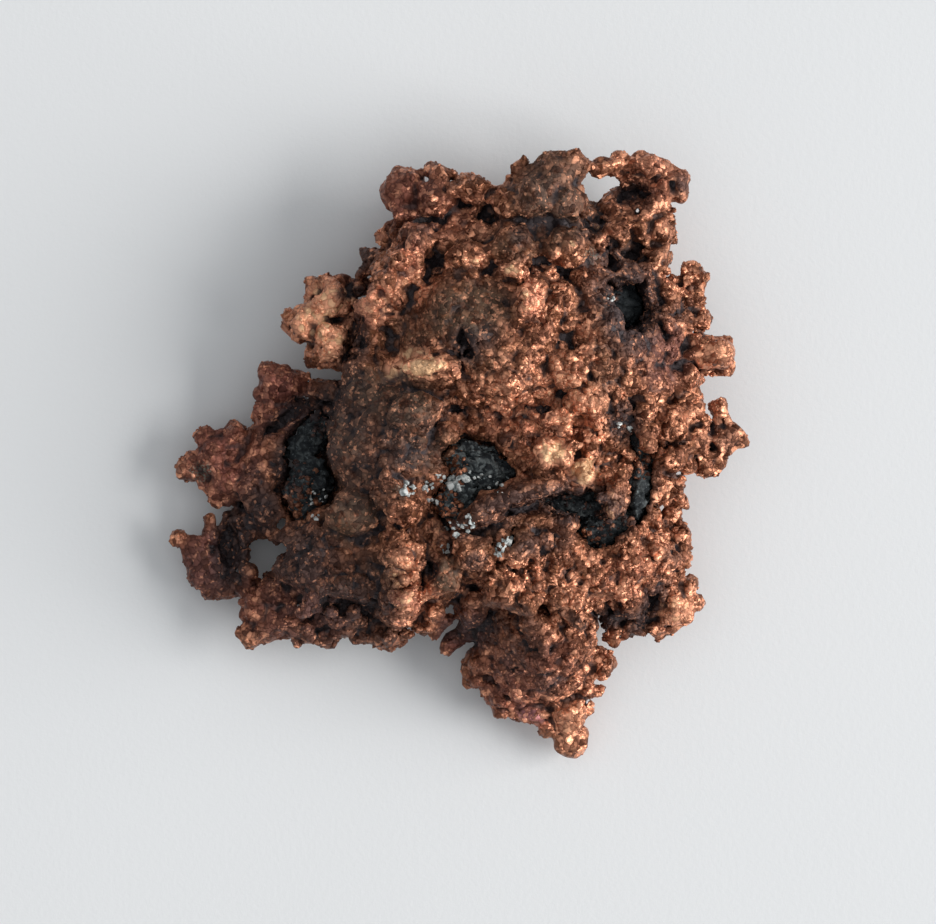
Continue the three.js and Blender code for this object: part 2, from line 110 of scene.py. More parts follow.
DARK = [  # purple-brown to black tarnish, and painted shade on flanks turned away from the light and in hollows that lie in shadow
    [2.5, 19, 1.3, 2, 0.25], [5.2, 17.8, 1, 1, 0.6], [-18.3, -7.6, 2, 4, 1, -8], [-16, -4.5, 2, 2.4, 0.9],
    [-11.5, 3, 1.6, 4.2, 1, -40], [-13.5, -1, 1.6, 3, 1], [-9, -12, 5, 2.6, 0.75],
    [-12.5, -8.5, 3.4, 3.2, 0.85], [-8, -1, 4.6, 4, 0.4], [-3.5, 0.2, 2.6, 1.4, 0.4],
    [-14, -12, 2, 1.6, 0.4], [14, 12, 2.7, 4.4, 1, 12], [12.6, 15.6, 1.3, 1.6, 0.8],
    [11, 18.4, 1.8, 1, 0.6, 40], [14.6, 20.4, 1.6, 1, 0.4], [13.6, 2.6, 1.4, 1.8, 0.9, 5],
    [9.5, -3.6, 4.6, 1.5, 0.9, -5], [13, -5.6, 2.2, 1.2, 0.9, 35], [-8.6, 7.6, 1, 1.6, 0.6],
    [-7.8, 15.8, 0.9, 2.2, 0.8, -35], [0.8, 8.8, 1.2, 1.6, 1, 20], [-2, 2.2, 1.2, 0.8, 0.5],
    [1.4, -5.6, 3.4, 1.2, 0.7, 10], [7, -7, 3, 1.2, 0.5, 15], [4.2, 1.2, 0.9, 0.9, 0.5],
    [7, 3.6, 0.6, 0.6, 1], [-2, -9.2, 0.7, 1, 1], [-8.3, 13.2, 1.6, 0.6, 0.9, 10],
    [-12.8, 1.6, 3.4, 1, 1, 55], [-13.6, 3.4, 3, 0.8, 1, 38], [14.3, 21.2, 1.6, 1, 0.9, 10],
    [18.2, 21.9, 0.8, 1, 0.7], [9.3, -4.1, 3.6, 1.3, 1, -12], [1.5, -14.2, 3.2, 1.5, 0.8],
    [12.8, -13.3, 1.7, 0.9, 1, 10], [15.6, -12.6, 3, 0.9, 0.9, 58], [-8, -11.4, 3.4, 1.8, 0.7],
    [-7.8, 9.8, 0.8, 2.2, 0.9, 8], [-7.6, -6.9, 0.7, 0.7, 1], [5.5, -15.5, 2.4, 1.4, 0.45, -20],
    [2, -12.4, 2.4, 1.2, 0.4, -20], [-0.2, -14.2, 1.6, 1.6, 0.4], [16, 7.5, 1, 1.8, 0.45],
    [2.5, 9.5, 0.9, 1.2, 0.6], [5.8, 5.9, 0.7, 0.7, 0.4], [-8, 2.5, 2, 1.8, 0.6], [-4.2, 0, 1.8, 1.4, 0.7],
    [-16.5, -2, 1.2, 1.6, 0.5], [-17, -6, 1.4, 1.4, 0.7], [1.5, -8.6, 1, 0.8, 0.7],
    [5.8, -7.4, 1.2, 0.8, 0.7], [9, -5.2, 1.2, 0.6, 0.8], [4.5, -17, 1.4, 1.2, 0.5],
    [7.5, -18.5, 1.2, 1, 0.5], [-2.4, 18.6, 1, 0.8, 0.5], [17.6, -8.2, 0.8, 1.2, 0.4],
    [16.9, 8.2, 2.4, 2.4, 0.35], [18.2, 11.4, 1.2, 1.4, 0.35], [-8, -9, 2.6, 1.6, 0.4],
    [5.4, -13, 2, 0.8, 0.5, -40], [9.4, -13.2, 2, 0.5, 0.6, -42], [4.3, -3.8, 3.8, 1.3, 0.8, 18],
    [15.4, -2.4, 1.2, 2.4, 0.5], [21.6, 1.6, 1.6, 1.6, 0.3], [-9.5, 2, 2.4, 2.4, 0.4],
    [-3.4, 17.6, 1.2, 1, 0.4], [-10, -14.8, 7, 1.5, 0.5], [-7, 2.4, 4.4, 3.6, 0.4],
    [-12.6, 1, 1.8, 3.4, 0.8, -30], [-20.4, -9.6, 2.4, 3, 0.45], [13.4, 12.6, 3, 4, 0.7, 10],
    [12.6, 15.4, 1.6, 1.6, 0.5], [1.8, -14.2, 2.8, 1.8, 0.5], [-8.6, 3.2, 1.4, 1.2, 0.7],
    [-5.4, 1.6, 1.2, 1, 0.7], [-7.4, -0.6, 1.6, 1, 0.6, 20], [-10.2, 0.2, 1.2, 1.8, 0.7],
    [-4.6, 5.6, 1, 0.8, 0.4], [-8, 5.8, 1.2, 1, 0.5], [8, 21, 3, 3.4, 0.3], [13.6, 12, 2.4, 3.4, 0.9, 10],
]
RED = [  # red-brown cuprite
    [-14.7, 4.8, 2.8, 3.4, 0.95], [-19, -0.5, 3.6, 3.6, 0.95], [-20.6, -9, 2.4, 3.4, 0.95],
    [-9, 15.6, 1.6, 2, 0.4], [-13, -12.5, 4.4, 2.8, 0.7], [-4, 21, 3.4, 2.8, 0.75], [-1, 19.5, 2.4, 2, 0.5],
    [4.5, -18.5, 3.6, 3.2, 0.6], [0.5, -14.5, 2.2, 2, 0.9], [8, -17, 3, 3, 0.35],
    [-16.5, -12, 2.4, 2.4, 0.7], [16, 22.5, 3, 2, 0.4], [17, 8, 2.2, 2.8, 0.7],
]
FRESH_AND_LIT = [  # bright copper, and painted light on lumps that catch the light and on lobes that lie in shade
    [7.8, 0.2, 1.5, 1.4, 1], [10.4, -1.3, 1.7, 1.5, 1], [-2.6, 7, 2.1, 0.9, 1, 5], [-5.2, 6.6, 1, 0.9, 0.9],
    [-11.4, 10.8, 2.4, 2.4, 0.85], [-9.6, 13.2, 1.8, 1.6, 0.6], [-10.2, 8.6, 1.3, 1.6, 0.8],
    [-3.4, 16.2, 1.6, 2.4, 0.5, -30], [-4.3, -10.6, 1.5, 3.6, 0.85, 4], [9.6, -11.8, 0.9, 2.8, 0.6, -42],
    [16.4, -7.6, 1.8, 2.4, 0.45], [12.6, -11, 1.4, 1.6, 0.4], [9.5, -21.8, 1.8, 3, 0.65],
    [12, -18, 1.6, 2, 0.4], [2, 5.6, 1.6, 1, 0.4], [20.6, 8.6, 2.2, 1.8, 0.5], [20.6, 2.8, 2.4, 2.6, 0.5],
    [18, 14.6, 1.6, 2, 0.45], [4.6, 14.9, 1, 0.7, 0.95], [1.6, 15.4, 0.7, 0.5, 0.8],
    [5.8, 12.6, 1.2, 1.6, 0.8], [9.4, 17, 0.4, 0.4, 1], [-6.6, 12.2, 2.4, 1.8, 0.75, 40],
    [11, 10, 1.6, 1.6, 0.3], [15.5, 8, 1.6, 1.4, 0.4], [-2, -2.9, 1.2, 0.8, 0.5], [0.8, -7, 2.4, 1, 0.45],
    [-6.4, -1.8, 1.4, 0.8, 0.4], [3.2, 18.8, 0.8, 0.8, 0.3], [12.4, 17.6, 1.4, 1, 0.5],
    [5.4, -9.4, 2, 1, 0.4, -30], [-17.4, -0.2, 1, 1.4, 0.6, 20], [-9.2, 12.4, 1.6, 1.6, 0.8],
    [-9.6, 9.4, 1.2, 1.4, 0.85], [-6.4, 17.4, 0.9, 0.9, 0.5], [-1.5, 16.2, 1, 1, 0.8],
    [-3.6, 13.4, 1.6, 1.6, 0.7], [-3.6, 8.2, 1.4, 0.8, 0.9], [-4.8, 6.4, 1.2, 1, 0.8],
    [2, 20.6, 1.2, 1, 0.6], [8.2, 15.4, 1.2, 1, 0.6], [11.8, 18.6, 0.9, 0.8, 0.8],
    [14.2, -0.4, 0.8, 1, 0.7], [12.5, -4.4, 1, 1.6, 0.8], [-10.8, -2.4, 0.9, 0.9, 0.4],
    [-5.6, -5.4, 1.2, 1, 0.6], [-1.3, -5.6, 0.9, 0.9, 0.8], [-2.4, -11.2, 1.2, 1, 0.7],
    [1.2, -11.2, 1.4, 1, 0.6], [-6.4, -13.2, 0.9, 0.9, 0.6], [13.2, -10.9, 1.2, 1.2, 0.7],
    [7.6, -21.4, 1.2, 1, 0.7], [10.2, -10.6, 1.6, 1, 0.6, -40], [9, 4.2, 4, 3.2, 0.65],
    [4.6, 4.6, 3, 2.4, 0.5], [-9.8, 13.4, 1.8, 1.4, 0.8], [-11.4, 10.8, 2.8, 2.6, 0.75],
    [-2.6, 7.1, 2.8, 1.2, 1, 5], [17.6, 22.4, 1.4, 1.6, 0.35], [4.4, 14.9, 2.4, 0.8, 0.6],
    [-0.6, 18.8, 2, 1.4, 0.25], [17.6, -12.4, 2.2, 2.2, 0.6], [20.8, 8.3, 2.4, 2, 0.6],
    [-2.6, 7.1, 2.4, 1.4, 1, 5], [-10.6, 12.4, 2.6, 2.4, 0.8], [-10.2, 9.4, 2, 2, 0.8],
    [15.2, 23.3, 3, 1.6, 0.6], [17.6, -12.5, 2.4, 2.2, 0.75], [9, 4.4, 3.6, 3, 0.75],
    [4.6, 4.4, 3.2, 2.4, 0.65], [16.6, 18.6, 1.6, 2.4, 0.5], [2.4, 19.6, 1.6, 1.4, 0.35],
]
PINK = [  # salmon to magenta bloom
    [-6.8, 12.2, 1.9, 1.2, 0.8, 45], [-4, 16, 1.8, 1.6, 0.6, 60], [5.8, 12.4, 1.2, 1.6, 0.7],
    [6, -21.2, 2, 1, 1, -25], [-4.2, -12.4, 1.4, 1.6, 0.6], [5, 2.6, 2.6, 1.8, 0.35],
    [14, -10, 2.4, 2, 0.3],
]
GREEN = [  # thin pale green bloom
    [-20.8, -1.4, 0.9, 0.8, 0.9], [11, 16, 0.8, 0.6, 0.9, 20], [12.5, 12.4, 0.9, 0.8, 0.5],
    [-10, -10.5, 1.6, 1, 0.4], [-4.6, -3, 0.6, 0.9, 0.5],
]
SMOOTH = [  # where few crystals stand up
    [1, 11.5, 3.4, 2.2, 0.35, 10], [-8.3, -5, 2.3, 2.1, 0.6], [8, 21, 3, 3.8, 0.5],
    [-0.7, -9.7, 1, 1.4, 0.9], [3.5, -3.4, 3.4, 1, 0.8, 18], [-3.6, 4.2, 2.2, 1.8, 0.4],
    [-19.5, -2, 3.6, 5, 0.35], [-14.5, 4.5, 3, 3.6, 0.6], [-4.2, 21.4, 2.6, 2.4, 0.9],
    [-11.5, 11, 3.2, 3.2, 0.3], [21, 8.3, 2.4, 2, 0.75], [21.5, 1.5, 2.2, 2.8, 0.5], [-20.8, -9, 3, 4, 0.6],
    [-16, -14.2, 2.4, 2, 0.6], [9.4, -23.6, 1.8, 2.2, 0.6], [18.2, 22, 1.6, 2, 0.6],
    [9, -0.4, 3.2, 2, 0.6, -20], [19, -12, 2, 2.6, 0.4], [-2.6, 7, 2, 1, 0.25], [1.5, -14.2, 2.4, 1.2, 0.7],
    [8.5, -0.4, 2.6, 1.8, 0.8, -20],
]
CHUNKY = [  # where the grains are large and stand well apart
    [8, 4, 6, 5, 1], [4, 5, 4, 3, 0.8], [-4.2, -10.5, 1.8, 4.6, 1], [9, -11, 4.5, 3, 0.9, -40],
    [15.5, -9, 4, 5, 0.9], [6, 12.5, 2.6, 2.8, 0.8], [3, 15.3, 4, 1.2, 0.7], [18.5, 12.5, 2.6, 4, 0.6],
    [11, -18.5, 2.2, 4, 0.7], [-6, -4, 2, 1.6, 0.7], [1, -8, 4, 2.4, 0.5], [12.6, -3.6, 1.8, 2.4, 0.9],
    [-11.2, 11, 3, 3, 0.5],
]
QUARTZ = [  # milky grains in the host rock, as [x, y, reach, how many, largest radius]
    [-3.9, -2.8, 0.55, 13, 0.34], [-2.1, -2.6, 0.5, 8, 0.3], [-1, -1.8, 0.5, 7, 0.28],
    [0.2, -2.2, 0.7, 13, 0.34], [1.4, -1.9, 0.8, 10, 0.23], [-1.8, -3.6, 0.5, 7, 0.23],
    [0.9, -5.4, 0.7, 13, 0.3], [-0.2, -5.8, 0.7, 8, 0.25], [4.1, -7, 0.55, 11, 0.34],
    [3.4, -7.7, 0.5, 10, 0.28], [-0.9, -7.7, 0.5, 6, 0.2], [3.2, -2.4, 0.8, 8, 0.18],
    [12.5, 12.4, 0.5, 6, 0.14], [13, 2.4, 0.3, 6, 0.25], [14.2, 2.1, 0.25, 4, 0.2],
    [-11.2, -3.4, 0.9, 10, 0.2], [-11.4, -4.8, 0.4, 6, 0.18],
]
FLECKS = [  # where copper grains sit in the rock
    [-1.5, -1.2, 2, 2.2, 1], [-1.2, -5, 1.8, 2, 1], [4.6, 0.4, 1.2, 1, 0.8], [12.4, -3.4, 1.6, 2.4, 0.8],
    [10.6, -6.8, 2, 0.9, 0.5, 20], [12.2, 13.6, 1.2, 1.2, 0.5], [-11, 3.6, 1.4, 2, 0.5],
    [-13.4, -4, 1.2, 2, 0.5], [15, -0.8, 0.8, 1.4, 0.7], [13.4, -5.4, 0.8, 0.8, 0.6],
    [8.2, -3.6, 1.4, 0.6, 0.5], [-12.6, -2.6, 1.4, 1.8, 0.25],
]

RIM_KNOBS = [  # round knobs along the rim, as [x, y, radius], each level with the copper's middle there
    [-5.4, 21.3, 1], [-1.8, 23.2, 0.85], [-0.4, 22.8, 0.65], [-2.7, 22.9, 0.4], [-7.6, 14.8, 0.5],
    [-10.6, 14.2, 0.7], [-9.4, 14.2, 0.7], [-9.3, 12.3, 0.8], [-8.3, 12.5, 0.6], [-12.8, 9.9, 0.9],
    [-13.4, 11.3, 0.8], [-15.3, 6.7, 1], [-15.7, 5, 0.9], [-16, 3.2, 0.8], [-13.9, 6.9, 0.6],
    [-20.6, 1.4, 0.9], [-21.6, -0.3, 0.9], [-22, -1.1, 1], [-20.6, -2, 0.8], [-19.6, -3.7, 0.7],
    [-22.7, -6.9, 0.7], [-21.7, -8.6, 0.7], [-20.2, -11.1, 0.8], [-18.6, -11.2, 0.7], [-17, -13, 0.7],
    [-16.7, -14.9, 0.9], [-15.4, -14.8, 0.7], [-13.8, -14.6, 0.5], [-10.6, -15.1, 0.85], [-8.3, -14.9, 0.5],
    [-7.5, -14.5, 0.7], [-6.2, -15.2, 0.5], [-3.9, -14.4, 0.65], [-1.9, -14.7, 0.5], [-0.6, -15.7, 0.7],
    [0.8, -17.9, 0.5], [1.7, -18.6, 0.5], [3.7, -21.1, 0.5], [5.5, 23.3, 0.7], [10, 24.1, 0.7],
    [13, 23, 0.75], [14.2, 22.8, 0.85], [15.4, 22.7, 0.75], [18, 21.2, 1.1], [17.8, 20.1, 0.5],
    [17.7, 17.4, 0.5], [19.9, 14.4, 0.9], [20.1, 10.8, 0.8], [19.4, 10.4, 0.5], [21.2, 4, 0.7],
    [20.3, 2.8, 0.5], [21.9, 0.5, 0.8], [21.4, -0.4, 0.9], [20.3, -1.1, 0.8], [18.9, -0.7, 0.8],
    [17.6, -4.4, 1], [19.2, -10.4, 0.7], [19.5, -12, 0.9], [18.8, -13.2, 0.8], [17.7, -13.9, 0.7],
    [15, -14.3, 0.6], [13.8, -14.5, 0.6], [12.7, -15, 0.75], [12.5, -13.4, 0.8], [13.3, -13.1, 0.6],
    [18.2, 14.1, 0.5], [17.5, -5.4, 0.6], [-8.9, 13.1, 0.8], [-7.8, 13.4, 0.7], [-10, 12.6, 0.7],
    [-11.3, 4.1, 0.7], [-10.5, 3.9, 0.6], [-13, -15.3, 0.5], [-11.9, -14.9, 0.5], [-9.8, -15, 0.5],
    [0.5, -12.9, 0.6], [11.9, -18.2, 0.7], [10.6, -20.6, 0.7], [10.2, -22.5, 0.7], [10.1, -23.8, 0.7],
    [9.5, -24, 0.95], [8.6, -23.8, 0.7], [7.5, -22.3, 0.9], [6.2, -21.6, 0.6], [8.4, -22.9, 0.7],
    [7, -21.9, 0.7], [5, -21.3, 0.6], [13.6, 23.5, 0.8], [16.6, 23.1, 0.9],
]
LUMPS = [  # knobs that stand on the upper face, as [x, y, radius]
    [7.3, 0.4, 1.15], [8.5, -0.3, 0.95], [7.2, -0.8, 0.7], [10.2, -1.1, 0.95], [10.7, -1.9, 0.7],
    [9.6, 0.8, 0.6], [-3.8, 6.9, 0.6], [-3, 7.2, 0.7], [-2.2, 7, 0.7], [-1.4, 7.3, 0.6], [1.8, -4.3, 0.7],
    [2.8, -3.9, 0.8], [3.8, -3.6, 0.8], [4.8, -3.2, 0.85], [5.8, -2.9, 0.85], [6.8, -2.7, 0.8],
    [7.9, -2.5, 0.7], [15.3, 3.3, 1], [15.4, 2, 0.9], [15.6, 0.8, 0.7], [20.5, 8.3, 1.35], [21.5, 8.2, 1.2],
    [-12.3, -12.6, 0.7], [-10.2, -12.7, 0.6], [-8.2, -12.7, 0.7], [-17.3, -6.8, 0.8], [-17.4, -8.2, 0.9],
    [-17, -9.4, 0.8], [5, 14.9, 0.7], [4.2, 15, 0.6], [5.6, 12.8, 0.8], [5.4, 11.8, 0.7], [12.4, 18.2, 0.7],
    [-3.2, 17.2, 1], [-4.4, 15.6, 1], [-5.6, 14.2, 0.9], [-6.6, 12.4, 1], [-4.3, -8.2, 0.8],
    [-4, -9.8, 0.7], [-3.7, -11.2, 0.8], [-4.3, -12.8, 0.8], [13.4, -10.8, 0.9], [16.2, -7.9, 0.9],
    [17.8, -12.3, 1], [12.9, -2.9, 0.6], [12.4, -4.4, 0.7], [11.9, -3.4, 0.5], [14, -0.3, 0.7],
    [13.7, -1.5, 0.7], [-9.2, 12, 0.9], [-9.6, 9.6, 0.9], [-10.4, 8.2, 0.7], [-11.7, 11, 1.4],
    [-10.6, 12.2, 1.2], [-10, 13.2, 1], [-10.6, 9.8, 1.1], [-10, 8.8, 0.9], [-12.6, 10.4, 1],
]
PITS = [  # hollows from above, as [x, y, radius along, radius across, turn, depth]
    [14, 12.2, 2.3, 1.3, 108, 2.8], [12.7, 15.8, 1.3, 0.6, 110, 2], [14.3, 21.2, 1.4, 0.9, 10, 1.8],
    [9.3, -4.1, 3.1, 1, -12, 2.4], [12.6, -6.4, 1.6, 0.8, 28, 2], [15.2, -1.7, 1.2, 0.45, 97, 1.8],
    [14.7, -3.9, 1.2, 0.5, 65, 2], [-13.6, 3.2, 2.6, 0.6, 38, 1.1], [-12.5, 1.2, 3, 0.9, 58, 2.8],
    [12.8, -13.3, 0.9, 0.5, 10, 1.6], [15.7, -12.6, 1.9, 0.45, 58, 1.4], [-18.6, -7.4, 0.9, 2.2, 0, 2],
    [-8.2, -10.6, 1.6, 0.8, 20, 1], [-6.6, -11.2, 0.7, 1.3, 0, 1], [17.6, 21.6, 0.5, 0.7, 0, 0.7],
    [-7.8, 9.8, 0.5, 1.8, 8, 1.6], [0.6, 9.2, 0.55, 0.8, 20, 1.6], [1.1, 8.3, 0.6, 0.7, 0, 2.2],
    [1.7, 9, 0.4, 0.4, 0, 1], [7, 3.6, 0.75, 0.7, 0, 2], [2.5, 19.5, 0.8, 0.9, 0, 1.8],
    [-7.6, -6.8, 0.5, 0.5, 0, 1.4], [-2, -9.2, 0.55, 0.85, 0, 2], [11, 18.6, 1.4, 0.55, -42, 1.8],
    [12.6, 17, 1.3, 0.6, -60, 1.8], [-7.4, 14, 1.3, 0.45, 12, 1.2],
]
HOLES = [  # small holes right through, as [x, y, radius along, radius across, turn]
    [14.75, 20, 0.28, 0.42, 0], [17.9, 20.3, 0.2, 0.2, 0], [18.8, -9.8, 0.22, 0.22, 0],
    [-11, 6.65, 0.75, 0.3, 0], [-8.25, 8.75, 0.2, 0.14, 0], [17.4, 14.7, 0.35, 0.5, 0],
    [11.65, -14.9, 0.28, 0.9, 0], [-15.3, -8.2, 0.85, 1.3, -15], [-14.2, -7.7, 0.7, 0.6, 20],
    [-14.1, -5.9, 0.35, 0.45, -15], [-2.4, 22.3, 0.2, 0.34, 0], [19.4, 23.4, 0.5, 0.5, 0],
    [3.3, 22.3, 0.9, 0.6, 0], [17.75, 18.8, 0.3, 0.4, 0], [9.9, 25.6, 0.7, 0.5, 0],
    [5.5, 24.8, 0.6, 0.5, 0], [-2.2, 24.7, 0.8, 0.4, 0], [19.4, 23.2, 0.7, 0.8, 0],
    [20.6, -12.8, 0.5, 0.5, 0], [18, -15.2, 0.5, 0.5, 0], [16.7, -15.6, 0.6, 0.5, 0],
    [-16.8, -16.4, 0.8, 0.5, 0],
]


def placed(rows):
    """Rows that start with a place, with that place moved to where the solids have it."""
    return [(x + CENTRING[0], y + CENTRING[1], *rest) for x, y, *rest in rows]


def in_radii(x, y, along, across, turn=0):
    """Places along the axes of an ellipse that is turned by so many degrees, in its own radii."""
    c, s = np.cos(np.radians(turn)), np.sin(np.radians(turn))
    return (x * c + y * s) / along, (y * c - x * s) / across


def patches(points, places):
    """How far each point lies in a list of patches, 0 to 1: the most of strength (1 − q)² (1 + 2q), where
    q is PATCH_FALL times the squared distance from a patch's middle in its own radii."""
    x, y = points[:, 0] - CENTRING[0], points[:, 1] - CENTRING[1]
    most = np.zeros(len(points), np.float32)
    for px, py, along, across, strength, *turn in places:
        u, v = in_radii(x - px, y - py, along, across, *turn)
        q = np.clip((u * u + v * v) * PATCH_FALL, 0, 1)
        most = np.maximum(most, strength * (1 - q) ** 2 * (1 + 2 * q))
    return most


# Numbers that vary from place to place


def mixed(i, j, k, salt):
    """A whole number that looks random for each cell i, j, k: the three times large odd numbers are added,
    and the bits are folded over and multiplied twice."""
    h = i.astype(np.uint32) * np.uint32(0x8DA6B343) + j.astype(np.uint32) * np.uint32(0xD8163841)
    h = h + k.astype(np.uint32) * np.uint32(0xCB1AB31F) + np.uint32(salt * 0x9E3779B9 % 2**32)
    h = (h ^ (h >> np.uint32(15))) * np.uint32(0x2C1B3C6D)
    h = (h ^ (h >> np.uint32(12))) * np.uint32(0x297A2D39)
    return h ^ (h >> np.uint32(15))


def thirds(h):
    """Three numbers from 0 to 1 from one whole number: its low, middle and high ten bits."""
    tens = [(h >> np.uint32(s)) & np.uint32(1023) for s in (0, 10, 20)]
    return np.stack(tens, 1).astype(np.float32) / 1023


def swell(points, size, salt):
    """Smooth noise from -1 to 1: a chance number at each corner of cubes of that size, blended between the
    corners with 3t² − 2t³."""
    q = points / size
    base = np.floor(q).astype(np.int32)
    t = q - base
    t = t * t * (3 - 2 * t)
    total = np.zeros(len(points), np.float32)
    for corner in np.ndindex(2, 2, 2):
        i, j, k = (base[:, a] + corner[a] for a in range(3))
        share = np.prod([t[:, a] if corner[a] else 1 - t[:, a] for a in range(3)], axis=0)
        total += share * (mixed(i, j, k, salt) / np.float32(2**31) - 1)
    return total


def cells(points, size, salt):
    """Grown grains: space is cut into cubes of that size, each with a middle at a chance place in it. Gives
    for each point, in sizes, the distance to the nearest middle, the gap to the next, and the height of
    that grain's face, which chance tilts, then a chance number of the grain."""
    q = (points / size).astype(np.float32)
    base = np.floor(q).astype(np.int32)
    near = np.full(len(q), 9, np.float32)
    second = near.copy()
    home, grain = np.zeros_like(q), np.zeros(len(q), np.uint32)
    for step in np.ndindex(3, 3, 3):
        i, j, k = (base[:, a] + (step[a] - 1) for a in range(3))
        h = mixed(i, j, k, salt)
        middle = thirds(h) + np.stack([i, j, k], 1)
        d = ((middle - q) ** 2).sum(1)
        closer = d < near
        second = np.where(closer, near, np.minimum(second, d))
        home[closer], grain[closer] = middle[closer], h[closer]
        near = np.minimum(near, d)
    near, second = np.sqrt(near), np.sqrt(second)
    luck = thirds(mixed(grain, grain, grain, salt + 7))
    tilt = ((q - home) * (luck - 0.5)).sum(1)
    return near, second - near, tilt, luck[:, 0]


# Meshes as arrays


def numbers(items, key, width, kind=np.float32):
    """What each of a mesh's items holds under a key, as rows of that many numbers."""
    values = np.empty(len(items) * width, kind)
    items.foreach_get(key, values)
    return values.reshape(-1, width)


def corners_of(mesh):
    return numbers(mesh.vertices, "co", 3) / MM


def triangles_of(mesh):
    mesh.calc_loop_triangles()
    return numbers(mesh.loop_triangles, "vertices", 3, np.int32)


def merged_node(node):
    """The corners in mm and the triangles of a CAD node, with the corners that share a place made one."""
    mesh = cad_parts[node].data
    points = numbers(mesh.vertices, "co", 3)
    loops = numbers(mesh.loops, "vertex_index", 1, np.int32).ravel()
    keys = np.round(points / SAME_PLACE).astype(np.int64)
    _, first, where = np.unique(keys, axis=0, return_index=True, return_inverse=True)
    return points[first] / MM, where.reshape(-1)[loops].reshape(-1, 3)


# Solids as distances on a grid


def spread(values, n):
    """The mean of a grid of values over cubes of 2n + 1 places: a running mean along each axis."""
    for axis in range(3):
        pad = [(0, 0)] * 3
        pad[axis] = (n + 1, n)
        run = np.cumsum(np.pad(values, pad), axis=axis, dtype=np.float32)
        upper = np.take(run, np.arange(2 * n + 1, run.shape[axis]), axis=axis)
        lower = np.take(run, np.arange(0, run.shape[axis] - 2 * n - 1), axis=axis)
        values = (upper - lower) / (2 * n + 1)
    return values


class Solid:
    """A solid as its signed distance in mm at the points of a cubic grid, negative inside."""

    def __init__(self, node, step):
        points, triangles = merged_node(node)
        transform = openvdb.createLinearTransform(voxelSize=step)
        grid = openvdb.FloatGrid.createLevelSetFromPolygons(
            points, triangles=triangles.astype(np.uint32), transform=transform, halfWidth=SKIN_BAND
        )
        low, high = grid.evalActiveVoxelBoundingBox()
        self.step, self.low = step, np.array(low) - GRID_MARGIN
        self.depth = np.empty(np.array(high) + GRID_MARGIN + 1 - self.low, np.float32)
        grid.copyToArray(self.depth, ijk=tuple(int(v) for v in self.low))
        self.transform, self.background = transform, grid.background

    def near_surface(self, reach):
        """The grid places within reach of the surface, and their points in mm."""
        where = np.nonzero(np.abs(self.depth) < reach)
        return where, ((np.stack(where, 1) + self.low) * self.step).astype(np.float32)

    def around(self, centre, reach):
        """The slices of the grid in a box around a centre, and its points in mm."""
        size = self.depth.shape
        first = np.floor((np.array(centre) - reach) / self.step).astype(int) - self.low
        last = np.ceil((np.array(centre) + reach) / self.step).astype(int) - self.low + 1
        first = np.clip(first, 0, size)
        last = np.clip(last, first, size)
        window = tuple(slice(a, b) for a, b in zip(first, last))
        return window, (np.moveaxis(np.mgrid[window], 0, -1) + self.low).astype(np.float32) * self.step

    def heights(self, x, y, reach):
        """The heights in mm of all grid places in the solid within reach of a plumb line, lowest first."""
        window, p = self.around((x, y, 0), np.array([reach, reach, FAR]))
        inside = (self.depth[window] < 0) & (np.hypot(p[..., 0] - x, p[..., 1] - y) < reach)
        return np.sort(p[..., 2][inside])

    def join(self, centre, radius):
        """Adds a sphere: the lesser of the two distances."""
        window, p = self.around(centre, radius + 1)
        self.depth[window] = np.minimum(self.depth[window], np.linalg.norm(p - centre, axis=-1) - radius)

    def cut(self, centre, radii, turn):
        """Takes away an ellipsoid turned about the vertical: the greater of the distance and minus the
        ellipsoid's, which is about (length in radii - 1) times the least radius."""
        window, p = self.around(centre, np.array([max(radii[:2]) + 1] * 2 + [radii[2] + 1]))
        x, y, z = np.moveaxis(p - centre, -1, 0)
        u, v = in_radii(x, y, radii[0], radii[1], turn)
        length = np.sqrt(u**2 + v**2 + (z / radii[2]) ** 2)
        self.depth[window] = np.maximum(self.depth[window], (1 - length) * min(radii))

    def at(self, values, points):
        """A grid of values read at points, blended between the eight nearest grid places."""
        q = points / self.step - self.low
        base = np.clip(np.floor(q).astype(np.int32), 0, np.array(values.shape) - 2)
        t = np.clip(q - base, 0, 1)
        total = 0
        for corner in np.ndindex(2, 2, 2):
            share = np.prod([t[:, a] if corner[a] else 1 - t[:, a] for a in range(3)], axis=0)
            total = total + share * values[tuple(base[:, a] + corner[a] for a in range(3))]
        return total

    def crowding(self, reach):
        """The share of a cube of that half width that is solid: half on a flat, less on a knob, more in a
        hollow."""
        return spread((self.depth < 0).astype(np.float32), max(1, round(reach / self.step)))

    def outward(self, points):
        """The direction in which the distance grows fastest at each point."""
        h = self.step * 1.5
        slope = [
            self.at(self.depth, points + h * axis) - self.at(self.depth, points - h * axis)
            for axis in np.eye(3, dtype=np.float32)
        ]
        slope = np.stack(slope, 1)
        return slope / np.maximum(np.linalg.norm(slope, axis=1, keepdims=True), 1e-6)

    def skin(self):
        """The surface where the distance is zero: points in mm and outward four-sided faces."""
        grid = openvdb.FloatGrid(self.background)
        grid.transform = self.transform
        grid.copyFromArray(self.depth, ijk=tuple(int(v) for v in self.low))
        points, _, quads = grid.convertToPolygons(isovalue=0, adaptivity=0)
        quads = quads.astype(np.int64)
        a, b, c = (points[quads[:, n]].astype(np.float64) for n in (0, 1, 2))
        if (a * np.cross(b, c)).sum() < 0:
            quads = quads[:, ::-1]
        return largest(points, quads)


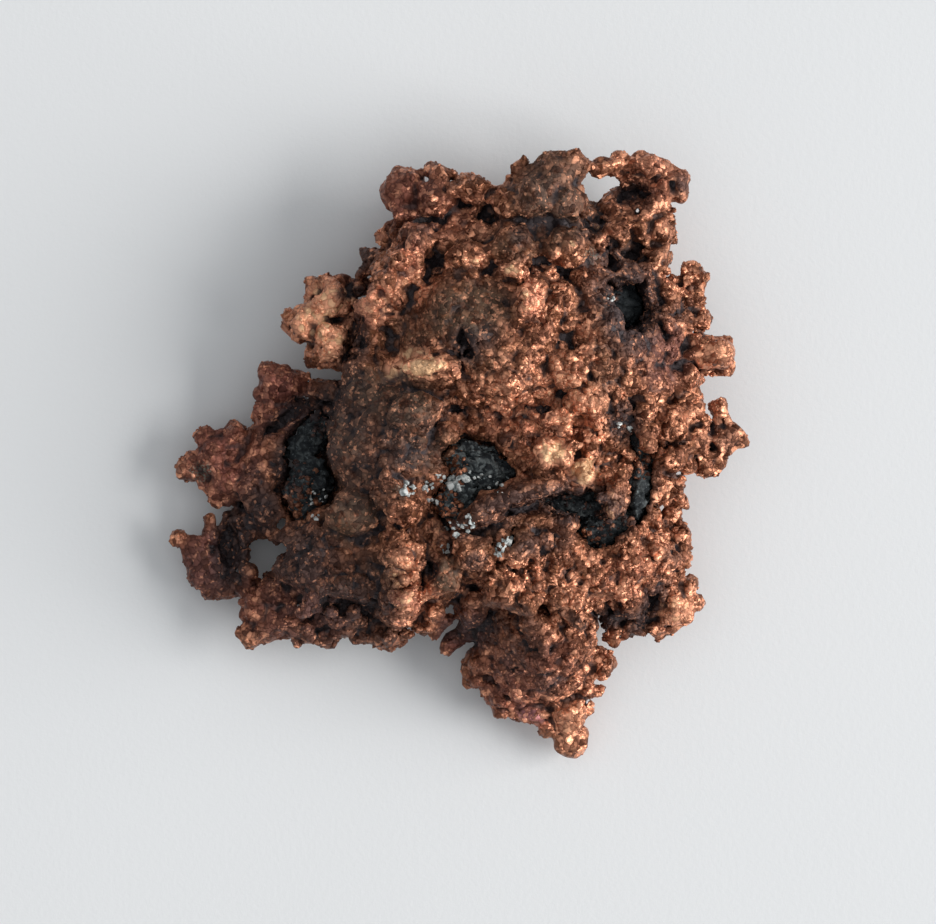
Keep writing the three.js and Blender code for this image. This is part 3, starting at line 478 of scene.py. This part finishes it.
def largest(points, quads):
    """The biggest connected part of a surface: each corner takes the lowest number among its neighbours'
    until none changes, and the number that most corners have is kept."""
    mark = np.arange(len(points))
    a, b = quads.ravel(), np.roll(quads, 1, axis=1).ravel()
    while True:
        low = np.minimum(mark[a], mark[b])
        new = mark.copy()
        np.minimum.at(new, a, low)
        np.minimum.at(new, b, low)
        new = new[new]
        if (new == mark).all():
            break
        mark = new
    kept = mark == np.bincount(mark).argmax()
    number = np.cumsum(kept) - 1
    return points[kept], number[quads[kept[quads[:, 0]]]]


# Meshes as pieces


def mesh_of(name, points, faces):
    """A mesh in metres from points in mm and a table of faces with equal numbers of corners."""
    mesh = bpy.data.meshes.new(name)
    mesh.vertices.add(len(points))
    mesh.vertices.foreach_set("co", (points * MM).astype(np.float32).ravel())
    mesh.loops.add(faces.size)
    mesh.loops.foreach_set("vertex_index", faces.astype(np.int32).ravel())
    mesh.polygons.add(len(faces))
    mesh.polygons.foreach_set("loop_start", np.arange(0, faces.size, faces.shape[1], dtype=np.int32))
    mesh.update(calc_edges=True)
    mesh.validate()
    return mesh


def piece(mesh, slot, material, *nodes):
    """Makes a mesh a piece of the object, which rides on the body and stands for CAD nodes."""
    made = bpy.data.objects.new(mesh.name, mesh)
    bpy.context.scene.collection.objects.link(made)
    mesh.materials.append(material)
    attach(made, "root")
    if nodes:
        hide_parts(*nodes)


def thinned(mesh, name, triangles):
    """A mesh of four-sided faces under a new name, with its flattest corners taken out until that many
    triangles are left."""
    holder = bpy.data.objects.new("holder", mesh)
    bpy.context.scene.collection.objects.link(holder)
    collapse = holder.modifiers.new("thin", "DECIMATE")
    collapse.ratio = triangles / (2 * len(mesh.polygons))
    out = bpy.data.meshes.new_from_object(holder.evaluated_get(bpy.context.evaluated_depsgraph_get()))
    out.name = name
    bpy.data.objects.remove(holder)
    return out


def note(mesh, name, first, second, third=0.0):
    """Numbers at each corner, for the materials to read as one colour."""
    values = np.ones((len(mesh.vertices), 4), np.float32)
    values[:, 0], values[:, 1], values[:, 2] = first, second, third
    mesh.attributes.new(name, "FLOAT_COLOR", "POINT").data.foreach_set("color", values.ravel())


# The copper's skin


def copper_relief(p):
    """How far in mm the skin stands out at points: low knobs, then grains with flat faces tilted by chance,
    then fine grains, with seams a e^(−b gap) between them. What stands out is held under HIGHEST_GRAIN by
    a tanh, and all of it is less where the copper is smooth."""
    near, gap, _, luck = cells(p + 0.25 * swell(p, 1.7, 3)[:, None], KNOB_SIZE, 11)
    relief = 0.44 * (0.42 - near * near) * (0.4 + 1.2 * luck) - 0.20 * np.exp(-gap * 7)
    near, gap, tilt, _ = cells(p, BLOCK_SIZE, 21)
    chunky = 0.55 + 0.75 * patches(p, CHUNKY)
    relief += chunky * (0.34 * (0.45 - near) + 0.55 * tilt * BLOCK_SIZE - 0.20 * np.exp(-gap * 8))
    near, _, tilt, _ = cells(p, GRAIN_SIZE, 31)
    relief += 0.12 * (0.45 - near) + 0.36 * tilt * GRAIN_SIZE
    relief = np.where(relief > 0, HIGHEST_GRAIN * np.tanh(relief / HIGHEST_GRAIN), relief)
    return relief * (1 - 0.75 * patches(p, SMOOTH)) + SKIN_LIFT


def copper_solid():
    """The copper's distance, with knobs joined, pits and holes cut, and its grains' relief. Thin rims are
    smoothed, and nothing reaches down to the table."""
    solid = Solid("copper", SKIN_STEP)
    for x, y, radius in placed(RIM_KNOBS):
        solid.join((x, y, solid.heights(x, y, RIM_REACH).mean()), radius)
    for x, y, radius in placed(LUMPS):
        solid.join((x, y, solid.heights(x, y, TOP_REACH)[-1] - LUMP_SINK * radius), radius)
    for x, y, along, across, turn, depth in placed(PITS):
        solid.cut((x, y, solid.heights(x, y, TOP_REACH)[-1]), (along, across, depth), turn)
    for x, y, along, across, turn in placed(HOLES):
        solid.cut((x, y, HOLE_LEVEL), (along, across, HOLE_HEIGHT), turn)
    where, p = solid.near_surface(COPPER_REACH)
    solid.depth[where] -= copper_relief(p)
    thin = np.clip((THIN_CROWDING - solid.crowding(THIN_REACH)) / THIN_RANGE, 0, 1)
    solid.depth += (spread(solid.depth, 1) - solid.depth) * thin
    where, p = solid.near_surface(COPPER_REACH)
    solid.depth[where] = np.maximum(solid.depth[where], COPPER_TABLE_GAP - p[:, 2])
    return solid


class Nugget:
    """The copper's solid, and how crowded each place of it is close by and farther off."""

    def __init__(self):
        self.solid = copper_solid()
        self.close, self.wide = self.solid.crowding(CLOSE_REACH), self.solid.crowding(WIDE_REACH)

    def notes(self, mesh, points):
        """Notes on a mesh what its finish depends on, painted light and shade among it. points are where
        each corner's notes are read. The bright copper patches, partly painted light, count for more where
        the skin faces up."""
        facing_up = np.clip(0.65 + 0.6 * self.solid.outward(points)[:, 2], 0.3, 1)
        # the dark patches hold tarnish and painted shade; the bright copper patches hold copper and painted
        # light
        note(mesh, "stain_and_shade", patches(points, OLIVE), patches(points, DARK), patches(points, RED))
        note(mesh, "bloom", patches(points, FRESH_AND_LIT) * facing_up, patches(points, PINK), patches(points, GREEN))
        note(mesh, "form", self.solid.at(self.close, points), self.solid.at(self.wide, points))

    def chance(self, at, upper):
        """The chance of a crystal at places: none off the side asked for, fewer in hollows and where the
        copper is smooth."""
        side = (at[:, 2] > UPPER_SIDE) == upper
        open_air = np.clip((CROWDED - self.solid.at(self.close, at)) / 0.2, 0.06, 1)
        return side * open_air * (1 - 0.9 * patches(at, SMOOTH))


def crystal_radii(at, rng, least, most):
    """Radii of the copper's crystals at places, most of them small, larger in chunky patches."""
    radii = least + (most - least) * rng.random(len(at)) ** 2
    return radii * (0.85 + 0.8 * patches(at, CHUNKY) - 0.25 * patches(at, OLIVE))


def crystal_points(centres, radii, rng, least=0.65, most=1.25):
    """Corners of crystals. A crystal has the 8 corners of a cube of half width a, and 6 tips at b on its
    axes: b = a is a cube, 2a a dodecahedron of rhombs, 3a an octahedron. Each is stretched by least to
    most, its corners are shaken a little, and it is turned at random by a quaternion."""
    n = len(centres)
    a = rng.uniform(*CUBE_HALF_WIDTH, (n, 1, 1))
    b = a * rng.choice(TIP_REACH, (n, 1, 1), p=TIP_SHARE)
    local = np.concatenate([CUBE[None] * a, TIPS[None] * b], 1)
    local *= rng.uniform(least, most, (n, 1, 3))
    local += rng.normal(0, CORNER_SHAKE, local.shape)
    quaternion = rng.normal(0, 1, (n, 4))
    w, x, y, z = (quaternion / np.linalg.norm(quaternion, axis=1, keepdims=True)).T
    turn = np.array(
        [
            [1 - 2 * (y * y + z * z), 2 * (x * y - w * z), 2 * (x * z + w * y)],
            [2 * (x * y + w * z), 1 - 2 * (x * x + z * z), 2 * (y * z - w * x)],
            [2 * (x * z - w * y), 2 * (y * z + w * x), 1 - 2 * (x * x + y * y)],
        ]
    )
    local = np.einsum("ijn,nkj->nki", turn, local)
    return centres[:, None, :] + local * radii[:, None, None]


def crystal_faces(count):
    """The faces of that many crystals: each tip with the four edges of its side of the cube, facing out."""
    faces = []
    for number, tip in enumerate(TIPS, len(CUBE)):
        ring = [c for c in range(len(CUBE)) if CUBE[c] @ tip == 1]
        side = np.roll(np.eye(3, dtype=int), 1, axis=1)[np.abs(tip).argmax()]
        across = np.cross(tip, side)
        ring.sort(key=lambda c: np.arctan2(CUBE[c] @ across, CUBE[c] @ side))
        faces += [[number, ring[n], ring[(n + 1) % 4]] for n in range(4)]
    starts = np.arange(count)[:, None, None] * CRYSTAL_CORNERS
    return (np.array(faces)[None] + starts).reshape(-1, 3)


def scattered(solid, points, triangles, count, seed):
    """Places spread evenly by area over a surface, the way out there, and what draws the next numbers."""
    rng = np.random.default_rng(seed)
    a, b, c = (points[triangles[:, n]].astype(np.float64) for n in range(3))
    area = np.linalg.norm(np.cross(b - a, c - a), axis=1)
    edge = np.cumsum(area)
    pick = np.searchsorted(edge, rng.random(count) * edge[-1])
    u, v = rng.random((2, count, 1))
    flip = u + v > 1
    u, v = np.where(flip, 1 - u, u), np.where(flip, 1 - v, v)
    at = (a[pick] + u * (b - a)[pick] + v * (c - a)[pick]).astype(np.float32)
    return at, solid.outward(at), rng


def crystals(nugget, skin, name, count, seed, keep, size, material):
    """A crowd of copper crystals on a skin, which is a solid with the points and triangles of its surface.
    Of count places, keep gives the chance that each has a crystal, and size its radius."""
    at, out, rng = scattered(*skin, count, seed)
    kept = np.nonzero(rng.random(len(at)) < keep(at))[0][:CRYSTAL_LIMIT]
    at, out = at[kept], out[kept]
    radii = size(at, rng)
    least, most = CRYSTAL_SINK
    centres = at + out * (radii * rng.uniform(-most, -least, len(at)))[:, None]
    corners = crystal_points(centres, radii, rng)
    standing = corners[..., 2].min(1) > CRYSTAL_TABLE_GAP
    corners, at = corners[standing], at[standing]
    mesh = mesh_of(name, corners.reshape(-1, 3), crystal_faces(len(at)))
    rounded = np.repeat(rng.random(len(at)) < ROUNDED_SHARE, CRYSTAL_FACES)
    mesh.polygons.foreach_set("use_smooth", rounded)
    nugget.notes(mesh, np.repeat(at, CRYSTAL_CORNERS, axis=0))
    piece(mesh, "copper", material, "copper")


# Materials


class Wire:
    """A socket whose value can be reckoned with: each sum on it adds a Math node."""

    def __init__(self, finish, socket):
        self.finish, self.socket = finish, socket

    def reckon(self, operation, *others):
        inputs = dict(enumerate((self, *others)))
        return self.finish.node("ShaderNodeMath", {"operation": operation}, inputs)[0]

    def __add__(self, other):
        return self.reckon("ADD", other)

    def __sub__(self, other):
        return self.reckon("SUBTRACT", other)

    def __rsub__(self, other):
        return (self * -1) + other

    def __mul__(self, other):
        return self.reckon("MULTIPLY", other)

    __radd__, __rmul__ = __add__, __mul__

    def held(self):
        """Kept from 0 to 1."""
        return self.reckon("MAXIMUM", 0).reckon("MINIMUM", 1)

    def ramp(self, start, end):
        """0 up to start, 1 from end, and smooth between them."""
        settings = {"interpolation_type": "SMOOTHSTEP"}
        return self.finish.node("ShaderNodeMapRange", settings, {0: self, 1: start, 2: end, 3: 0, 4: 1})[0]


class Outputs:
    """A node's outputs as wires, by name or by number."""

    def __init__(self, finish, node):
        self.finish, self.outputs = finish, node.outputs

    def __getitem__(self, key):
        return Wire(self.finish, self.outputs[key])


class Finish:
    """A material or a sky under construction."""

    def __init__(self, owner):
        self.owner = owner
        owner.use_nodes = True
        self.tree = owner.node_tree
        self.tree.nodes.clear()
        self.coordinates = self.node("ShaderNodeTexCoord")
        self.place = self.coordinates["Object"]

    def node(self, kind, settings=None, inputs=None):
        """Adds a node, sets its settings, then links or sets its inputs by name or number. Gives its
        outputs."""
        made = self.tree.nodes.new(kind)
        for key, value in (settings or {}).items():
            setattr(made, key, value)
        for key, value in (inputs or {}).items():
            if isinstance(value, Wire):
                self.tree.links.new(value.socket, made.inputs[key])
            else:
                made.inputs[key].default_value = value
        return Outputs(self, made)

    def vector(self, operation, inputs):
        return self.node("ShaderNodeVectorMath", {"operation": operation}, inputs)[0]

    def noise(self, size, detail=3.0, roughness=0.55, warp=0.0):
        """Cloudy noise from 0 to 1 with lumps of that size in mm."""
        inputs = {"Vector": self.place, "Scale": 1 / (size * MM), "Detail": detail}
        inputs |= {"Roughness": roughness, "Distortion": warp}
        return self.node("ShaderNodeTexNoise", {"noise_dimensions": "3D"}, inputs)["Fac"]

    def grains(self, size, feature="F1", warp=0.15):
        """Cells of that size in mm, their places shifted by noise up to about that warp in mm."""
        cloud = {"Vector": self.place, "Scale": 1 / (size * 1.3 * MM), "Detail": 1.0}
        drift = self.node("ShaderNodeTexNoise", {}, cloud)["Color"]
        drift = self.vector("SCALE", {0: drift, "Scale": warp * 4 * MM})
        inputs = {"Vector": self.vector("ADD", {0: self.place, 1: drift}), "Scale": 1 / (size * MM)}
        return self.node("ShaderNodeTexVoronoi", {"feature": feature}, inputs)

    def blend(self, share, below, above, how="MIX"):
        """Colour below turning into colour above by share."""
        settings = {"data_type": "RGBA", "blend_type": how, "clamp_factor": True}
        return self.node("ShaderNodeMix", settings, {0: share, 6: below, 7: above})[2]

    def split(self, colour):
        parts = self.node("ShaderNodeSeparateColor", {}, {"Color": colour})
        return parts["Red"], parts["Green"], parts["Blue"]

    def three(self, name):
        """The three numbers that the mesh notes under a name."""
        return self.split(self.node("ShaderNodeAttribute", {"attribute_name": name})["Color"])

    def bump(self, height, distance, below=None):
        """The normal with bumps of that height in mm, on top of the bumps below."""
        inputs = {"Height": height, "Distance": distance * MM, "Strength": 1.0}
        if below is not None:
            inputs["Normal"] = below
        return self.node("ShaderNodeBump", {}, inputs)["Normal"]

    def shaken(self, normal, colour, amount):
        """A normal tipped by a grain's chance colour: normal + amount (colour − one half)."""
        tip = self.vector("SUBTRACT", {0: colour, 1: (0.5, 0.5, 0.5)})
        tip = self.vector("SCALE", {0: tip, "Scale": amount})
        return self.vector("NORMALIZE", {0: self.vector("ADD", {0: normal, 1: tip})})

    def done(self, **sockets):
        """Ends in one Principled BSDF with those sockets."""
        inputs = {key.replace("_", " "): value for key, value in sockets.items()}
        shader = self.node("ShaderNodeBsdfPrincipled", {}, inputs)["BSDF"]
        self.node("ShaderNodeOutputMaterial", {}, {"Surface": shader})
        return self.owner


def colour(red, green, blue):
    return (red, green, blue, 1.0)


# the two brightest copper colours serve also as painted highlights
FRESH_COPPER_AND_GLINT = colour(1.0, 0.46, 0.27)
GOLDEN_HIGHLIGHT = colour(1.0, 0.61, 0.34)
BROWN_COPPER = colour(0.34, 0.136, 0.070)
RED_BROWN = colour(0.30, 0.098, 0.080)
OLIVE_BROWN = colour(0.128, 0.072, 0.043)
# tarnish, also used as painted shade in hollows and on flanks turned from the light
DARK_TARNISH_AND_SHADE = colour(0.056, 0.044, 0.048)
SALMON = colour(0.98, 0.36, 0.23)
MAGENTA_BLOOM = colour(0.80, 0.35, 0.36)
PALE_GREEN = colour(0.30, 0.36, 0.29)
SEAM_SHADE, GRAIN_SHADE = colour(0.40, 0.32, 0.31), colour(0.46, 0.41, 0.42)


def copper_finish(name, shake):
    """Copper in domed grains with painted shade in the seams between them: bright where its copper is bare,
    with painted light on lumps that catch the light and on lobes in shade and painted highlights on chance
    grains, brown where it has tarnished, dull and fine-grained under its olive patina, and nearly black in
    its hollows, from tarnish and painted shade. Each grain is also darkened by a chance amount, as painted
    shade. shake is how far each grain's face is tipped."""
    f = Finish(bpy.data.materials.new(name))
    olive, dark, red = f.three("stain_and_shade")
    fresh_and_lit, pink, green = f.three("bloom")
    close, wide = f.three("form")[:2]
    cloud, mottle, speck = f.noise(2.6), f.noise(0.9, 4), f.noise(0.16, 3)
    grain, fine = f.grains(DOME), f.grains(FINE_GRAIN, warp=0.06)
    seam = 1 - f.grains(DOME, "DISTANCE_TO_EDGE")["Distance"].ramp(0.0, 0.2)
    hue, luck, depth = f.split(grain["Color"])

    # hollow marks crowded places, which are darkened below both as tarnish and as painted shade
    hollow = close.ramp(0.49, 0.70)
    clean_and_lit = fresh_and_lit * 1.3 + (mottle - 0.5) * 2.2 + (luck - 0.5) * 1.2 + 0.24 - olive * 0.8 - dark * 0.9
    clean_and_lit = (clean_and_lit.held() * (1 - hollow)).held()
    base = f.blend(clean_and_lit.ramp(0.15, 0.85), BROWN_COPPER, FRESH_COPPER_AND_GLINT)
    bright = fresh_and_lit.ramp(0.50, 0.95)
    # painted light: the brightest patches, on lumps that catch the light, turn golden
    base = f.blend((fresh_and_lit + (luck - 0.5) * 0.25).ramp(0.82, 0.92) * 0.95, base, GOLDEN_HIGHLIGHT)
    base = f.blend((red * 0.85 * (cloud + 0.4)).held(), base, RED_BROWN)
    rosy = f.blend(pink.ramp(0.75, 0.95), SALMON, MAGENTA_BLOOM)
    base = f.blend((pink * 0.9 * mottle.ramp(0.35, 0.6)).held(), base, rosy)
    olive_share = (olive * 1.25 * mottle.ramp(0.30, 0.50)).held()
    base = f.blend(olive_share, base, OLIVE_BROWN)
    base = f.blend((green * speck.ramp(0.45, 0.6)).held(), base, PALE_GREEN)
    # painted shade with tarnish: dark patches, close hollows and broad hollows turn nearly black
    dark_share = (dark * 0.95 + hollow * 0.75 + wide.ramp(0.58, 0.80) * 0.6).held()
    base = f.blend(dark_share, base, DARK_TARNISH_AND_SHADE)
    # painted highlights: chance grains and fine specks turn bright copper to golden
    painted_spark = luck.ramp(0.70, 0.80) * mottle.ramp(0.40, 0.56) * (1 - olive * 0.85) * (1 - hollow)
    painted_spark = (painted_spark * (1 - dark * 0.9) * (1 - red * 0.75)).held()
    painted_glint = f.split(fine["Color"])[1].ramp(0.85, 0.90) * mottle.ramp(0.42, 0.56) * (1 - hollow)
    base = f.blend((painted_spark * 0.85 + painted_glint * 0.6).held(), base, f.blend(bright, FRESH_COPPER_AND_GLINT, GOLDEN_HIGHLIGHT))
    # painted shade in the seams between grains
    seams = seam * 0.65 * (1 - olive_share * 0.5) * (1 - bright * 0.45)
    base = f.blend(seams, base, SEAM_SHADE, "MULTIPLY")
    # painted shade: each grain darkened by a chance amount, as light falls on each face differently
    tone = f.blend(hue.ramp(0.1, 0.9), GRAIN_SHADE, colour(1, 1, 1))
    base = f.blend(0.9 - bright * 0.75, base, tone, "MULTIPLY")

    dull = (olive_share * 0.75 + dark_share * 0.7 + red * 0.25).held()
    metal = (0.55 + clean_and_lit * 0.15 - bright * 0.45 - painted_spark * 0.2 - dull * 0.5).held()
    rough = (0.38 + dull * 0.32 + (depth - 0.5) * 0.14 + (speck - 0.5) * 0.2).held()
    dome = 1 - grain["Distance"] * grain["Distance"]
    normal = f.bump(dome, 0.12, f.bump(speck, 0.05))
    normal = f.shaken(normal, grain["Color"], shake * (1 - olive_share * 0.4))
    normal = f.shaken(normal, fine["Color"], shake * 0.35)
    return f.done(Base_Color=base, Metallic=metal, Roughness=rough, Normal=normal, Specular_IOR_Level=0.3)


def rock_finish(name, pale):
    """Dark blue-grey slaty rock with pale flecks, all of it lighter the nearer pale is to 1. A low pale is
    partly painted shade.
    """
    f = Finish(bpy.data.materials.new(name))
    layer = f.noise(0.5, 5, 0.6, 0.6)
    fleck = f.noise(0.28, 2)
    slate = layer.ramp(0.42, 0.70) * pale
    base = f.blend(slate, colour(0.018, 0.021, 0.024), colour(0.155, 0.172, 0.172))
    base = f.blend(fleck.ramp(0.62, 0.74) * (0.8 * pale), base, colour(0.30, 0.35, 0.36))
    normal = f.bump(layer, 0.15, f.bump(fleck, 0.04))
    return f.done(Base_Color=base, Roughness=0.45 + layer * 0.4, Normal=normal, Specular_IOR_Level=0.12)


def quartz_finish():
    """Milky pale grains."""
    f = Finish(bpy.data.materials.new("milky_quartz"))
    cloud = f.noise(0.5, 3)
    base = f.blend(cloud.ramp(0.35, 0.65), colour(0.22, 0.25, 0.25), colour(0.78, 0.80, 0.78))
    return f.done(Base_Color=base, Roughness=0.25 + cloud * 0.3, Normal=f.bump(cloud, 0.03))


def table_finish():
    """Pale grey paper with a fine tooth."""
    f = Finish(bpy.data.materials.new("pale_table"))
    tooth = f.noise(0.5, 4, 0.7)
    broad = f.noise(40, 2)
    base = f.blend(broad, colour(0.775, 0.785, 0.80), colour(0.80, 0.81, 0.825))
    return f.done(Base_Color=base, Roughness=0.8 + tooth * 0.1, Normal=f.bump(tooth, 0.02))


# The object


def build_copper():
    """The copper's skin and its crystals. Gives the nugget and the crystals' finish."""
    nugget = Nugget()
    mesh = thinned(mesh_of("copper_raw", *nugget.solid.skin()), "copper_skin", SKIN_TRIANGLES)
    corners = corners_of(mesh)
    skin = nugget.solid, corners, triangles_of(mesh)
    nugget.notes(mesh, corners)
    finish = copper_finish("copper_crystal", 0.4)
    piece(mesh, "copper", copper_finish("copper_skin", 1.0), "copper")
    for name, count, upper, least, most, seed in CRYSTALS:

        def chance(at):
            return nugget.chance(at, upper)

        def size(at, rng):
            return crystal_radii(at, rng, least, most)

        crystals(nugget, skin, name, count, seed, chance, size, finish)
    return nugget, finish


def rock_relief(p):
    """Splintered blocks with flat faces tilted by chance, stretched one way, in two sizes."""
    stretched = p * SPLINTER + 0.3 * swell(p, 1.3, 5)[:, None]
    near, gap, tilt, _ = cells(stretched, 1.3, 17)
    relief = 0.30 * (0.45 - near) + 0.75 * tilt - 0.25 * np.exp(-gap * 7)
    _, gap, tilt, _ = cells(stretched, 0.55, 19)
    return relief + (0.34 * tilt - 0.10 * np.exp(-gap * 7))


def build_rock(nugget, copper):
    """The rocks' faces and the copper flecks in them. Gives the rocks' solids."""

    def chance(at):
        return (at[:, 2] > FLECK_LEVEL) * patches(at, FLECKS)

    def size(at, rng):
        return rng.uniform(*FLECK_RADII, len(at))

    solids = []
    for number, (node, pale) in enumerate(ROCKS.items()):
        solid = Solid(node, ROCK_STEP)
        where, p = solid.near_surface(ROCK_REACH)
        solid.depth[where] -= rock_relief(p)
        points, quads = solid.skin()
        mesh = mesh_of(node + "_face", points, quads)
        piece(mesh, "rock", rock_finish(node + "_stone", pale), node)
        skin = solid, points, triangles_of(mesh)
        crystals(nugget, skin, node + "_flecks", FLECK_TRIES, FLECK_SEED + number, chance, size, copper)
        solids.append(solid)
    return solids


def build_quartz(solids, finish):
    """Milky grains where the photograph shows them, on whichever solid is highest there."""
    rng = np.random.default_rng(QUARTZ_SEED)
    centres, radii = [], []
    for x, y, reach, count, largest_radius in placed(QUARTZ):
        for _ in range(count):
            angle, out = rng.uniform(0, 2 * np.pi), reach * np.sqrt(rng.random())
            px, py = x + out * np.cos(angle), y + out * np.sin(angle)
            columns = [solid.heights(px, py, GRAIN_REACH) for solid in solids]
            radius = largest_radius * rng.uniform(0.45, 1)
            top = max(column[-1] for column in columns if len(column))
            centres.append((px, py, top - GRAIN_SINK * radius))
            radii.append(radius)
    corners = crystal_points(np.array(centres), np.array(radii), rng, 0.35, 1.6)
    mesh = mesh_of("quartz_grains", corners.reshape(-1, 3), crystal_faces(len(radii)))
    mesh.shade_flat()
    piece(mesh, "rock", finish)


# The stage


def build_table():
    half = TABLE_HALF
    corners = np.array([[-half, -half, 0], [half, -half, 0], [half, half, 0], [-half, half, 0]])
    mesh = mesh_of("table", corners, np.array([[0, 1, 2, 3]]))
    mesh.materials.append(table_finish())
    table = bpy.data.objects.new("table", mesh)
    bpy.context.scene.collection.objects.link(table)


def build_light():
    """A dim sky that is brighter overhead, and a square soft key light low at the right."""
    scene = bpy.context.scene
    scene.view_settings.view_transform = "Standard"
    sky = Finish(bpy.data.worlds.new("studio"))
    up = sky.node("ShaderNodeSeparateXYZ", {}, {"Vector": sky.coordinates["Generated"]})["Z"]
    glow = {"Color": (0.95, 0.98, 1.0, 1), "Strength": up * up * 0.50 + 0.25}
    glow = sky.node("ShaderNodeBackground", {}, glow)["Background"]
    sky.node("ShaderNodeOutputWorld", {}, {"Surface": glow})
    scene.world = sky.owner
    lamp = bpy.data.lights.new("soft_key", "AREA")
    lamp.shape, lamp.size, lamp.energy, lamp.color = "SQUARE", KEY_SIZE * MM, KEY_WATTS, (1.0, 0.99, 0.97)
    key = bpy.data.objects.new("soft_key", lamp)
    towards = Vector(KEY_DIRECTION).normalized()
    key.location = towards * KEY_DISTANCE * MM
    key.rotation_euler = towards.to_track_quat("Z", "Y").to_euler()
    scene.collection.objects.link(key)


def build_camera():
    """Looks straight down from far off. The photograph's middle and width hold at the outline's level."""
    data = bpy.data.cameras.new("camera")
    data.lens, data.sensor_width = LENS, FILM_WIDTH
    data.clip_start, data.clip_end = 0.05, 5
    camera = bpy.data.objects.new("camera", data)
    x = (PHOTO_MIDDLE_PX[0] - DRAWN_MIDDLE_PX[0]) * PHOTO_MM_PER_PX + CENTRING[0]
    y = (DRAWN_MIDDLE_PX[1] - PHOTO_MIDDLE_PX[1]) * PHOTO_MM_PER_PX + CENTRING[1]
    wide = PHOTO_WIDTH_PX * PHOTO_MM_PER_PX
    camera.location = np.array([x, y, OUTLINE_LEVEL + wide / FILM_WIDTH * LENS]) * MM
    bpy.context.scene.collection.objects.link(camera)
    bpy.context.scene.camera = camera


nugget, copper = build_copper()
build_quartz([nugget.solid, *build_rock(nugget, copper)], quartz_finish())
build_table()
build_light()
build_camera()
